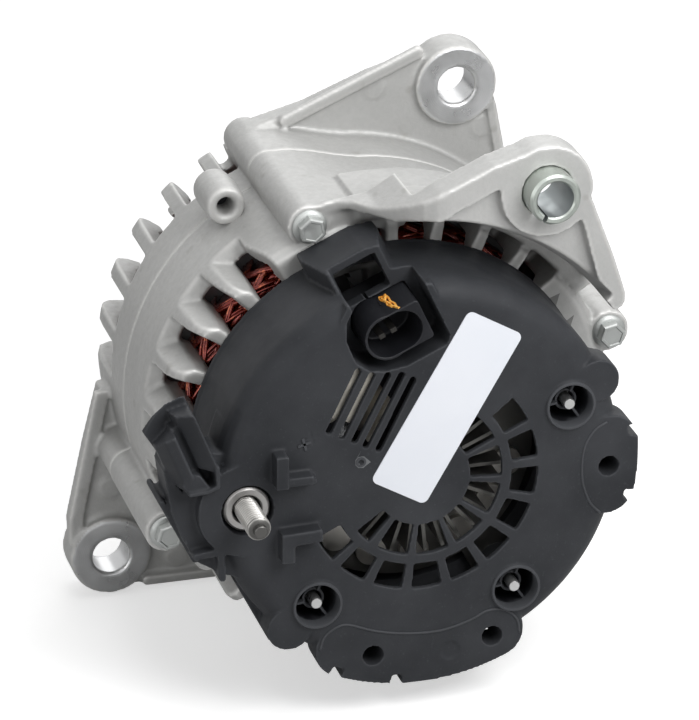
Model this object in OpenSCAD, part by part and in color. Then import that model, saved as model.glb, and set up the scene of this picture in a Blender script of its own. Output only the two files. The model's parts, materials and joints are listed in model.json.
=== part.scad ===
// Automotive alternator with internal fans, rear cover and three mounting lugs.
// Local modelling axes: x to the right and y up as seen from the rear, z toward the rear,
// z = 0 in the belt plane of the pulley. Each piece is turned at the end so that z up is +Z
// and the rear cover looks toward -Y.

/* [Layout along the shaft] */
// Rear face of the two front lugs, from the belt plane
lug_rear_z = 46.3; // [45:0.1:47.5]
// Length of the two front lugs
lug_len = 14.1; // [12:0.1:15]
// Plane where the two brackets meet
joint_z = 63.5; // [62:0.5:66]
// Rear rim of the rear bracket, where the cover sits
rim_z = 116; // [115:0.5:118]
// Depth of the rear cover
cover_depth = 38; // [37:0.5:40]
// Front face of the front bracket wall
nose_z = 16; // [15:0.5:16.5]

/* [Brackets] */
// Outside radius of both brackets
body_r = 78; // [77:0.5:79]
// Wall at the rim of the brackets
body_wall = 6.9; // [6.6:0.1:7.2]
// Thickness of the flat bracket walls
end_wall = 5; // [4:0.5:6]
// Clearance between the stator core and the brackets
core_gap = 0.05; // [0.02:0.01:0.1]
// Angle between two cooling ribs
rib_pitch = 12.45; // [12.3:0.05:12.6]
// Width of a cooling rib
rib_w = 5; // [4:0.25:5.5]
// Angle of the first through bolt
bolt_angle = 19.8; // [19:0.1:21]
// How far the through bolts sit outside the body radius
bolt_out = 2.7; // [2.2:0.1:3.2]
// Radius of the bolt bosses
bolt_boss_r = 7.2; // [7:0.1:8]

/* [Lugs] */
// Distance of the lower front lug from the shaft
lug_a_r = 104.5; // [103:0.5:106]
// Angle of the lower front lug
lug_a_angle = 220.9; // [220:0.1:222]
// Distance of the upper lugs from the shaft
lug_b_r = 102.2; // [101:0.2:103]
// Angle of the upper lugs
lug_b_angle = 64.9; // [64:0.1:66]
// Radius of the front lug bosses
lug_boss_r = 14.2; // [13.5:0.1:15]
// Radius of the front lug holes
lug_hole_r = 6.5; // [6:0.1:7]
// Rear face of the rear lug
arm_rear_z = 145.5; // [145:0.5:147]
// Thickness of the rear lug at its rim
arm_t = 12; // [11:0.5:13]
// Depth of the pockets in the rear lug
arm_pocket = 4; // [3:0.5:5]
// Radius of the rear lug boss
arm_boss_r = 15.4; // [15:0.1:16]

/* [Sliding bush] */
// Outside radius of the bush
bush_r = 8.5; // [8:0.1:9]
// Bore radius of the bush
bush_bore_r = 6.1; // [5.8:0.1:6.4]
// Length of the bush
bush_len = 22; // [20:0.5:23]
// How far the bush stands out of the lug
bush_out = 8.2; // [7:0.1:9]
// Width of the slit along the bush
bush_slit = 1.4; // [1:0.1:2]
// Running clearance of the bush in the lug
bush_fit = 0.03; // [0.02:0.01:0.08]

/* [Stator] */
// Bore radius of the core
core_bore_r = 51; // [50.5:0.1:51.5]
// Length of the core
core_len = 40; // [38:0.5:41]
// Front face of the core
core_front_z = 46; // [45:0.5:47]
// Number of slots
slots = 36; // [36:1:36]
// Iron behind the slots
back_iron = 6.6; // [6:0.1:8]
// Width of a slot
slot_w = 4.6; // [4:0.1:5]
// Clearance between the slot and the copper in it
slot_gap = 0.25; // [0.2:0.05:0.4]
// Overhang of the winding beyond the core
overhang = 17.5; // [16:0.5:18]

/* [Rotor] */
// Radius of the pole claws
claw_r = 50.6; // [50.2:0.05:50.65]
// Length of the rotor between the outer faces of the claw plates
rotor_len = 38; // [36:0.5:39]
// Thickness of a claw plate
claw_plate = 11; // [10:0.5:12]
// Pole pairs
pole_pairs = 6; // [6:1:6]
// Radius of the shaft in the rotor
shaft_r = 10; // [9.5:0.1:10.5]
// Blades of each fan
fan_blades = 11; // [9:1:13]
// Height of the fan blades
fan_h = 8.5; // [7:0.5:9]
// Sheet thickness of the fans
fan_t = 1.2; // [1:0.1:1.5]

/* [Front bearing] */
// Bore radius
fb_in = 8.5; // [8.5:0.5:8.5]
// Outside radius
fb_out = 23.5; // [23:0.5:23.5]
// Width
fb_w = 14; // [13.5:0.5:14]
// Ball radius
fb_ball = 4.35; // [4.2:0.05:4.4]

/* [Rear bearing] */
// Bore radius
rb_in = 7.5; // [7.5:0.1:7.5]
// Outside radius
rb_out = 17.5; // [17:0.1:17.5]
// Width
rb_w = 11; // [10.5:0.5:11]
// Ball radius
rb_ball = 2.98; // [2.9:0.02:3]
// Clearance of the balls in both bearings
ball_gap = 0.04; // [0.02:0.01:0.06]

/* [Pulley] */
// Outside radius of the belt pulley
pulley_r = 27.5; // [26:0.5:29]
// Width of the pulley
pulley_w = 26; // [25:0.5:27]
// Grooves
grooves = 6; // [5:1:6]
// Distance between two grooves
groove_pitch = 3.56; // [3.5:0.02:3.6]

/* [Slip rings and brushes] */
// Radius of the slip rings
ring_r = 7.4; // [7.2:0.1:7.8]
// Width of a slip ring
ring_w = 7; // [6.5:0.1:7.5]
// Distance between the centres of the slip rings
ring_pitch = 9.6; // [9:0.1:10]
// Width of a brush along the shaft
brush_w = 5; // [4.5:0.1:5.5]
// Width of a brush across the shaft
brush_b = 6.4; // [6:0.1:6.8]
// Length of a new brush
brush_len = 16; // [14:0.5:17]
// Clearance of the brush in its guide
brush_fit = 0.08; // [0.05:0.01:0.1]

/* [Rear cover] */
// Outside radius of the cover drum
cover_r = 69; // [68:0.25:69.5]
// Wall of the cover
cover_wall = 2.2; // [2:0.1:2.6]
// Rounding of the cover shoulder
cover_round = 8; // [6:0.5:9]
// Distance of the three stud wells from the shaft
well_circle_r = 53.8; // [53.4:0.1:54.4]
// Inside radius of a stud well
well_r = 7.4; // [7:0.1:7.8]
// Wall of a stud well
well_wall = 0.9; // [0.8:0.1:1.2]
// Depth of a stud well
well_depth = 18; // [16:0.5:19]
// Thickness of the flange blocks
flange_t = 11; // [10:0.5:12]
// Outer radius of the flange blocks
flange_r = 73.8; // [73:0.2:75]
// Holes in the flange blocks
flange_hole_r = 3.45; // [3:0.05:3.8]

/* [Output stud] */
// Distance of the output stud from the shaft
stud_r = 58.7; // [58:0.1:59.5]
// Angle of the output stud
stud_angle = 183.7; // [183:0.1:185]
// Thread radius of the output stud
stud_thread_r = 4; // [4:0.1:4]
// Length of the stud outside the cover
stud_out = 17; // [15:0.5:19]
// Radius of the contact collar
collar_r = 7.7; // [7.2:0.1:8]

/* [Connector] */
// Distance of the plug socket from the shaft
socket_r = 52.9; // [52.5:0.1:53.3]
// Angle of the plug socket
socket_angle = 100.4; // [100:0.1:101]
// Turn of the plug socket
socket_turn = 24.7; // [24:0.1:25.5]
// Half height of the plug socket
socket_h = 6.8; // [6.4:0.1:7]
// Length of the plug socket
socket_w = 18.8; // [18:0.1:19.4]
// Depth of the plug socket
socket_depth = 15; // [13:0.5:16]

/* [Label] */
// Length of the blank label
label_l = 65; // [60:0.5:66]
// Width of the blank label
label_w = 21.2; // [20:0.1:22]
// Thickness of the label
label_t = 0.3; // [0.2:0.05:0.4]

/* [Hidden] */
$fn = 64;

cover_z = rim_z + cover_depth;
bolt_circle_r = body_r + bolt_out;
core_r = body_r - body_wall - 0.1;
slot_depth = core_r - core_bore_r - back_iron;
core_rear_z = core_front_z + core_len;
cavity_r = core_r - 0.7;
rear_wall_front_z = rim_z - end_wall - 1;
nose_in_z = nose_z + end_wall;
fb_front_z = nose_z + 2.4;
fb_rear_z = fb_front_z + fb_w;
rb_front_z = rim_z - rb_w - 1;
rb_rear_z = rb_front_z + rb_w;
bolt_angles = [bolt_angle, bolt_angle + 90, bolt_angle + 180, bolt_angle + 270];
bolt_shank_r = 2.5;
bolt_flange_r = 5.8;
bolt_seat_z = rim_z - 1.2;
bolt_top_z = bolt_seat_z + 5.3;
bolt_tip_z = nose_in_z + 14;
boss_front_z = nose_in_z + 9;
lug_a = polar(lug_a_r, lug_a_angle);
lug_b = polar(lug_b_r, lug_b_angle);
lug_front_z = lug_rear_z - lug_len;
web_front_z = lug_front_z + 2;
web_rear_z = lug_rear_z - 3.2;
left_ribs = 154.8;
right_ribs = 64.8;
well_angles = [22.4, -53.3, -131.2];
tube_angle = 122.9;
tube_r = 5.2;
tube_axis_r = body_r + tube_r + 0.5;
tube_rear_z = joint_z + 13;
tube_bore_r = 2.9;
rotor_mid_z = core_front_z + core_len / 2;
rotor_front_z = rotor_mid_z - rotor_len / 2;
rotor_rear_z = rotor_mid_z + rotor_len / 2;
coil_r = 36;
shaft_rear_r = 5;
ring_mid_z = rb_rear_z + 15;
brush_angle = 90;
pulley_front_z = -pulley_w / 2;
pulley_rear_z = pulley_w / 2;
nut_h = 10;
spring_wire = 0.35;
socket_tub_depth = 16;
socket_foot_z = cover_z - socket_tub_depth - cover_wall - 0.3;
shaft_tip_z = pulley_front_z - nut_h - 2;
socket_at = polar(socket_r, socket_angle);
stud_at = polar(stud_r, stud_angle);
lead_angles = [202, 210, 218];
lead_r = cover_r - 9.2;
regulator_feet = [[-36, 33], [-25, 42], [-1, 54]];
collar_z = cover_z - 1.2;
collar_neck_r = 6;
stud_foot_z = collar_z + 0.3;
reg_top_z = socket_foot_z - 0.3;
rect_neg_z = rim_z + 2.5;
rect_pos_z = rim_z + 12;
plate_t = 3;
fin_top_z = cover_z - 6;

function polar(r, a) = [r * cos(a), r * sin(a)];
function arc_pts(c, r, a1, a2, n) = [for (i = [0:n]) c + polar(r, a1 + (a2 - a1) * i / n)];

// Turns the local axes into the part's own axes
module seat() {
    rotate([90, 0, 0]) children();
}
// Extrusion from height z1 to z2
module slab(z1, z2) {
    translate([0, 0, z1]) linear_extrude(z2 - z1) children();
}
// Round post from height z1 to z2 at the point p
module post(p, r, z1, z2) {
    translate([p[0], p[1], z1]) cylinder(r = r, h = z2 - z1);
}
// Bar with round ends between two points
module bar2d(p, q, w) {
    translate(p) rotate(atan2(q[1] - p[1], q[0] - p[0]))
        translate([0, -w / 2]) square([norm(q - p), w]);
    translate(p) circle(w / 2 + 0.03);
    translate(q) circle(w / 2 + 0.03);
}
// Wedge with its point on the axis, under 180 degrees wide
module wedge2d(r, a1, a2) {
    polygon(concat([[0, 0]], [for (i = [0:4]) polar(r * 1.5, a1 + (a2 - a1) * i / 4)]));
}
// Part of a ring between two radii and two angles
module sector2d(r1, r2, a1, a2) {
    intersection() {
        difference() {
            circle(r2);
            circle(r1);
        }
        wedge2d(r2, a1, a2);
    }
}
// Rectangle with rounded corners, centred
module round_rect2d(l, w, r) {
    square([l - 2 * r, w], center = true);
    square([l, w - 2 * r], center = true);
    for (x = [-1, 1], y = [-1, 1]) translate([x * (l / 2 - r), y * (w / 2 - r)]) circle(r);
}
// Ring turned from a list of radius and height points
module turned(points) {
    rotate_extrude() polygon(points);
}
// Copies on a circle, each turned so that its x axis points outward
module around(angles) {
    for (a = angles) rotate(a) children();
}
// Outline of the rib windows: the gaps between ribs in one quarter of the bracket
module rib_gaps2d(mid, first, last) {
    r1 = 60;
    r2 = body_r + 4;
    for (i = [first:last]) {
        a = mid + i * rib_pitch;
        w1 = 2 * r1 * sin(rib_pitch / 2) - rib_w;
        w2 = 2 * r2 * sin(rib_pitch / 2) - rib_w * 0.62;
        rotate(a) polygon([[r1, -w1 / 2], [r2, -w2 / 2], [r2, w2 / 2], [r1, w1 / 2]]);
    }
}
// Hexagon across flats
module hex2d(af) {
    circle(d = af / cos(30), $fn = 6);
}

// The front lugs with their webs, seen from the rear
module web_a2d(grow = 0) {
    polygon([polar(body_r - 4, 174), [-79.2 - grow, 0], [-86.2 - grow, -28], [-92.3 - grow, -56],
        lug_a + polar(lug_boss_r - 1 + grow, 172), lug_a, lug_a + polar(lug_boss_r - 1 + grow, 270),
        [27, lug_a[1] - lug_boss_r + 1 - grow], polar(body_r - 4, bolt_angle + 270)]);
    translate(lug_a) circle(lug_boss_r - 1 + grow);
}
module web_b2d(grow = 0) {
    polygon([polar(body_r - 4, 112), polar(body_r + 10, 109.5), [-8, 88.6 + grow],
        [14.5, 97.6 + grow], lug_b + polar(lug_boss_r - 1 + grow, 117), lug_b,
        lug_b + polar(lug_boss_r - 1 + grow, -3), [61 + grow, 71], [65 + grow, 48],
        polar(body_r - 4, 33)]);
    translate(lug_b) circle(lug_boss_r - 1 + grow);
}

// Cast surface that runs from the first bolt boss down to the body
module boss_slope2d() {
    c = polar(bolt_circle_r, bolt_angle + 90);
    difference() {
        polygon([c, c + polar(bolt_boss_r, 75), c + [6.6, 7], c + [14.5, 5.6], c + [24, 3.2],
            c + [34, 1.4], [5, 72], [-27, 66]]);
        circle(cavity_r + 2);
    }
}

// Bell of the front bracket with its bolt bosses, before its rear face is cut
module front_shell() {
    z = joint_z + 4;
    turned([[20, nose_z], [body_r - 6, nose_z], [body_r - 2.5, nose_z + 2.2],
        [body_r - 0.8, nose_z + 6.5], [body_r, nose_z + 13], [body_r, z], [cavity_r, z],
        [cavity_r, nose_in_z + 4], [cavity_r - 4, nose_in_z], [34, nose_in_z], [32, fb_rear_z],
        [20, fb_rear_z]]);
    turned([[19.5, nose_z - 2], [30, nose_z - 2], [32, nose_z + 1], [19.5, nose_z + 1]]);
    for (a = bolt_angles) post(polar(bolt_circle_r, a), bolt_boss_r - 0.2, boss_front_z, z + 1);
    for (a = bolt_angles) rotate(a) translate([body_r - 8, 1 - bolt_boss_r, boss_front_z + 0.4])
        cube([bolt_circle_r - body_r + 7, 2 * bolt_boss_r - 2, z - boss_front_z + 1.6]);
    slab(lug_front_z + 4, z + 3) boss_slope2d();
}
module front_bracket() {
    color("#c3c2bd") seat() difference() {
        union() {
            difference() {
                front_shell();
                slab(joint_z, joint_z + 30) circle(130);
            }
            for (p = [lug_a, lug_b]) post(p, lug_boss_r, lug_front_z, lug_rear_z);
            slab(web_front_z, web_rear_z) difference() {
                union() {
                    web_a2d();
                    web_b2d();
                }
                circle(body_r - 3);
            }
            front_web_ribs();
            post(polar(tube_axis_r, tube_angle), tube_r, lug_rear_z, tube_rear_z);
            rotate(tube_angle) translate([body_r - 4, -tube_r + 1, lug_rear_z + 0.5])
                cube([tube_axis_r - body_r + 4, 2 * tube_r - 2, joint_z - lug_rear_z - 1]);
        }
        // seat of the stator core
        post([0, 0], core_r + core_gap, core_front_z, joint_z + 1);
        // seat of the bearing and hole for the spacer
        post([0, 0], fb_out, fb_front_z, fb_rear_z + 1);
        post([0, 0], fb_out - 3.5, nose_z - 3, fb_front_z + 1);
        front_windows();
        for (p = [lug_a, lug_b]) post(p, lug_hole_r, lug_front_z - 1, lug_rear_z + 1);
        for (a = bolt_angles) post(polar(bolt_circle_r, a), bolt_shank_r + 0.03,
            boss_front_z + 3, joint_z + 1);
        for (a = [45:90:315]) post(polar(27.5, a), 1.8, nose_z + 4, fb_rear_z + 1);
        post(polar(tube_axis_r, tube_angle), tube_bore_r, lug_rear_z + 8, tube_rear_z + 1);
        // slanted mouth of the tube
        translate(concat(polar(tube_axis_r, tube_angle), tube_rear_z - 1.5))
            rotate([0, 0, tube_angle - 40]) rotate([0, 24, 0]) translate([-10, -10, 2.4])
            cube([20, 20, 10]);
    }
}
// Raised edges and mould marks on the rear side of the front webs
module front_web_ribs() {
    z2 = web_rear_z + 2.2;
    slab(web_rear_z - 1, z2) difference() {
        union() {
            bar2d([-80.8, -6], [-90.7, -53], 5);
            bar2d([-90.7, -53], [-91, -62], 5);
            bar2d([-16, 85.2], [30, 105.2], 4.4);
            bar2d([56.2, 84], [62.5, 50], 3.6);
            bar2d([-66, -80.2], [20, -80.2], 3.6);
        }
        circle(body_r - 3);
    }
    for (p = [[-78.6, -43.6], [-55.2, -73.2], [15, 93.6], [53.5, 76]])
        post(p, 3.7, web_rear_z - 1, web_rear_z + 0.5);
}
// Cooling openings of the front bracket
module front_windows() {
    intersection() {
        slab(nose_z - 3, core_front_z - 3) union() {
            rib_gaps2d(left_ribs, -2, 2);
            rib_gaps2d(right_ribs + rib_pitch / 2, -2, 2);
            rib_gaps2d(bolt_angle + 225, -2, 2);
            rib_gaps2d(bolt_angle + 315, -2, 2);
        }
        union() {
            turned([[61, nose_z - 4], [body_r + 6, nose_z - 4], [body_r + 6, web_front_z - 3],
                [cavity_r - 2, web_front_z - 5], [61, nose_in_z + 1]]);
            intersection() {
                turned([[cavity_r - 3, web_front_z - 6], [body_r + 6, web_front_z - 4],
                    [body_r + 6, core_front_z - 3.5], [cavity_r - 3, core_front_z - 6]]);
                slab(0, core_front_z) sector2d(40, 99, 112, 180);
            }
        }
    }
    slab(nose_z - 3, nose_in_z + 2) for (i = [0:11])
        rotate(15 + 30 * i) sector2d(36.5, 55.5, -11.5, 11.5);
}

// Outline of the rear lug from the bolt boss to the foot at the right
module arm_outline2d() {
    difference() {
        union() {
            polygon(concat([[-24, 76], [-22.5, 83.6], [-16, 84.4], [-8, 85.6], [0, 90.2],
                [8, 95], [16.3, 98.6], [25, 102.6]],
                arc_pts(lug_b, arm_boss_r, 121, -14, 12),
                [[66.4, 67.7], [70.5, 55.2], [70.8, 51.6], [69.6, 49.2], [66.8, 48], [58, 52]]));
        }
        circle(body_r + 4.5);
    }
}
// Raised rim and boss of the rear lug
module arm_rim2d() {
    intersection() {
        arm_outline2d();
        union() {
            translate(lug_b) circle(arm_boss_r + 0.4);
            bar2d([-9, 79.5], [9, 90.8], 9);
            bar2d([9, 90.8], [34, 102.4], 8.4);
            bar2d([56.4, 92], [62.4, 70], 8);
            bar2d([62.4, 70], [68, 50], 8);
        }
    }
}
module rear_lug() {
    difference() {
        union() {
            slab(arm_rear_z - arm_t, arm_rear_z - arm_pocket) arm_outline2d();
            slab(arm_rear_z - arm_t, arm_rear_z) arm_rim2d();
            post(lug_b, arm_boss_r - 1.5, arm_rear_z - bush_len + bush_out, arm_rear_z - 1);
            // the lug's root reaches forward to the bracket
            slab(rim_z - 3, arm_rear_z - 0.6) intersection() {
                arm_outline2d();
                translate([-30, 60]) square([32, 40]);
            }
        }
        lug_bend();
        // the underside slopes away from the windows
        difference() {
            turned([[70, arm_rear_z - arm_t + 0.8], [body_r + 4.65, arm_rear_z - arm_t + 0.8],
                [body_r + 6.9, arm_rear_z - arm_pocket + 0.2], [body_r + 7.6, arm_rear_z + 1],
                [70, arm_rear_z + 1]]);
            slab(rim_z, arm_rear_z + 9) wedge2d(120, -20, 39);
        }
    }
    // shoulder and wall that carry the lug on the bracket
    slab(core_rear_z + 4, rim_z - 0.7) sector2d(body_r - 1, body_r + 6, 33, 98);
    slab(rim_z - 4, arm_rear_z - arm_t + 0.5) sector2d(body_r + 4.8, body_r + 8, 36.5, 92);
    difference() {
        slab(joint_z, rim_z - 1.6) boss_slope2d();
        lug_bend();
    }
    difference() {
        slab(rim_z - 3, arm_rear_z - arm_t - 0.5) difference() {
            boss_slope2d();
            circle(body_r + 4.6);
        }
        lug_bend();
    }
}
// Space that the lug leaves free where it bends down to the bolt boss
module lug_bend() {
    translate([0, 120, 0]) rotate([90, 0, 0]) linear_extrude(60) polygon([[-40, bolt_seat_z],
        [-18.5, bolt_seat_z], [-16.6, 115.8], [-14.6, 118], [-12, 122], [-8, 128.6], [-4, 134.4],
        [-0.7, 138.8], [3, 142.6], [7, 145], [11, 145.8], [11, 170], [-40, 170]]);
}

module rear_bracket() {
    color("#cbcac5") seat() difference() {
        union() {
            difference() {
                turned([[rb_out, rear_wall_front_z], [cavity_r - 4, rear_wall_front_z],
                    [cavity_r, rear_wall_front_z - 4], [cavity_r, joint_z], [body_r, joint_z],
                    [body_r, rim_z - 6], [body_r - 0.9, rim_z - 2.4], [body_r - 3.2, rim_z],
                    [rb_out, rim_z]]);
                rear_windows();
            }
            turned([[rb_out, rb_front_z - 2], [23.5, rb_front_z - 2], [25, rim_z - 3],
                [25, rim_z + 1], [rb_out, rim_z + 1]]);
            for (a = bolt_angles) post(polar(bolt_circle_r, a), bolt_boss_r, joint_z, bolt_seat_z);
            for (a = bolt_angles) rotate(a) translate([body_r - 7, 0.8 - bolt_boss_r, joint_z])
                cube([bolt_circle_r - body_r + 6, 2 * bolt_boss_r - 1.6, bolt_seat_z - joint_z - 0.4]);
            for (a = well_angles) post(polar(well_circle_r, a), 6, rear_wall_front_z - 2,
                rect_neg_z);
            for (p = regulator_feet) post(p, 4, rear_wall_front_z, rim_z + 6);
            rear_lug();
        }
        post([0, 0], core_r + core_gap, joint_z - 1, core_rear_z);
        // keeps the bolt bosses out of the winding space
        post([0, 0], cavity_r, core_rear_z - 1, rear_wall_front_z - 4);
        post([0, 0], rb_out + 1.2, rb_front_z, rim_z + 2);
        post([0, 0], rb_out - 2, rb_front_z - 3, rb_front_z + 1);
        for (a = bolt_angles) post(polar(bolt_circle_r, a), bolt_shank_r + 0.25, joint_z - 1,
            bolt_seat_z + 1);
        // spot faces under the bolt heads
        for (a = bolt_angles) post(polar(bolt_circle_r, a), bolt_flange_r + 0.5,
            bolt_seat_z - 0.02, bolt_top_z + 1);
        for (a = well_angles) post(polar(well_circle_r, a), 2.5, rear_wall_front_z, rim_z + 9);
        post(lug_b, bush_r + bush_fit, arm_rear_z - bush_len - 1, arm_rear_z + 1);
        slab(rear_wall_front_z - 3, rim_z + 2) {
            for (i = [0:8]) rotate(40 * i + 4) sector2d(28.5, 45, -15, 15);
            for (a = [60, 106, 160, 260, 340]) rotate(a) sector2d(50, 60, -8, 8);
            rotate(210) sector2d(50, 62.5, -12, 12);
        }
        post(polar(tube_axis_r, tube_angle), tube_r + 0.3, joint_z - 1, tube_rear_z + 1);
    }
}
// Cooling openings of the rear bracket, flared outward
module rear_windows() {
    intersection() {
        slab(core_rear_z, rim_z + 4) union() {
            rib_gaps2d(left_ribs, -2, 2);
            rib_gaps2d(bolt_angle + 225, -2, 2);
            rib_gaps2d(bolt_angle + 315, -2, 2);
        }
        turned([[62, rear_wall_front_z - 2], [cavity_r - 1, rear_wall_front_z - 4],
            [cavity_r - 1, core_rear_z + 8], [body_r + 4, core_rear_z + 1.5],
            [body_r + 4, rim_z + 5], [62, rim_z + 5]]);
    }
    // below the rear lug the openings only look to the rear
    intersection() {
        slab(core_rear_z + 10, rim_z + 4) rib_gaps2d(right_ribs + rib_pitch / 2, -2, 2);
        turned([[62, core_rear_z + 9], [body_r - 1.2, core_rear_z + 9], [body_r - 1.2, rim_z + 5],
            [62, rim_z + 5]]);
    }
}

module stator_core() {
    color("#55585c") seat() slab(core_front_z, core_rear_z) difference() {
        circle(core_r);
        circle(core_bore_r);
        for (i = [0:slots - 1]) rotate(360 * i / slots) {
            translate([core_bore_r + 1.2, -slot_w / 2]) square([slot_depth - 1.2, slot_w]);
            translate([core_bore_r - 2, -1.3]) square([4, 2.6]);
        }
    }
}
module slot_copper() {
    color("#b0522c") seat() slab(core_front_z - 0.6, core_rear_z + 0.6)
        for (i = [0:slots - 1]) rotate(360 * i / slots)
            translate([core_bore_r + 1.2 + slot_gap, slot_gap - slot_w / 2])
            square([slot_depth - 1.2 - 2 * slot_gap, slot_w - 2 * slot_gap]);
}
// Coil ends: a padded ring with a furrow over every tooth
module winding(z1, z2) {
    ri = core_bore_r + 2.6;
    ro = cavity_r - 1.6;
    dir = z2 > z1 ? 1 : -1;
    h = abs(z2 - z1);
    translate([0, 0, z1]) scale(1) mirror([0, 0, dir > 0 ? 0 : 1]) difference() {
        turned([[ri + 1.4, 0], [ro - 2.4, 0], [ro - 0.4, 2.2], [ro, h * 0.45], [ro - 1.2, h * 0.75],
            [ro - 4.4, h], [ri + 4, h], [ri + 1, h * 0.78], [ri, h * 0.4], [ri + 0.3, 2]]);
        for (i = [0:slots - 1]) rotate(360 * (i + 0.5) / slots) {
            translate([ro + 0.4, 0, -1]) rotate(45) translate([-1.2, -1.2, 0])
                cube([2.4, 2.4, h * 0.7]);
            translate([(ri + ro) / 2 - 8, 0, h + 0.6]) rotate([45, 0, 0])
                translate([0, -1.2, -1.2]) cube([16, 2.4, 2.4]);
        }
    }
}
module winding_front() {
    color("#a8401f") seat() winding(core_front_z - 0.6, core_front_z - overhang);
}
module winding_rear() {
    color("#a8401f") seat() winding(core_rear_z + 0.6, core_rear_z + overhang);
}
module stator_leads() {
    color("#b0522c") seat() for (a = lead_angles) post(polar(lead_r, a), 1.1,
        core_rear_z + overhang, rect_pos_z + 1);
}

module through_bolts() {
    color("#b9bcbf") seat() for (a = bolt_angles) translate(concat(polar(bolt_circle_r, a), 0))
        rotate(a + 12) {
            post([0, 0], bolt_shank_r, bolt_tip_z, bolt_seat_z + 1);
            turned([[0, bolt_seat_z], [bolt_flange_r, bolt_seat_z],
                [bolt_flange_r, bolt_seat_z + 0.7], [4, bolt_seat_z + 1.6], [0, bolt_seat_z + 1.6]]);
            intersection() {
                slab(bolt_seat_z + 0.5, bolt_top_z) hex2d(8);
                turned([[0, bolt_seat_z], [6, bolt_seat_z], [6, bolt_top_z - 1.2],
                    [4, bolt_top_z], [0, bolt_top_z]]);
            }
        }
}
module lug_bush() {
    z1 = arm_rear_z + bush_out - bush_len;
    z2 = arm_rear_z + bush_out;
    color("#b7c2b8") seat() translate(concat(lug_b, 0)) difference() {
        turned([[bush_bore_r, z1 + 0.6], [bush_bore_r + 0.6, z1], [bush_r - 0.6, z1],
            [bush_r, z1 + 0.6], [bush_r, z2 - 0.8], [bush_r - 0.8, z2], [bush_bore_r + 0.5, z2],
            [bush_bore_r, z2 - 0.5]]);
        rotate(240) translate([0, -bush_slit / 2, z1 - 1])
            cube([bush_r + 2, bush_slit, bush_len + 2]);
    }
}
module tube_plug() {
    color("#17181a") seat() post(polar(tube_axis_r, tube_angle), tube_bore_r, lug_rear_z + 8.2,
        tube_rear_z - 8);
}

// Outlines of the flange blocks at the cover's edge
module flange_low2d() {
    union() {
        sector2d(well_circle_r, flange_r, -115, -65.5);
        translate(polar(flange_r - 10, -114)) circle(10);
        translate(polar(flange_r - 10, -66.5)) circle(10);
    }
}
module flange_right2d() {
    union() {
        sector2d(well_circle_r, flange_r, -9, 5);
        translate(polar(flange_r - 9.8, 4.6)) circle(9.8);
        translate(polar(flange_r - 9.8, -9.4)) circle(9.8);
    }
}
// Notch for a clip in a flange block
module notch2d(a, w) {
    rotate(a) polygon([[flange_r - 3.2, -w / 2], [flange_r + 4, -w], [flange_r + 4, w * 0.6],
        [flange_r - 3.2, w / 2]]);
}
module label_place() {
    translate([7.7, 24.5, 0]) rotate(60.1) children();
}
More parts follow.
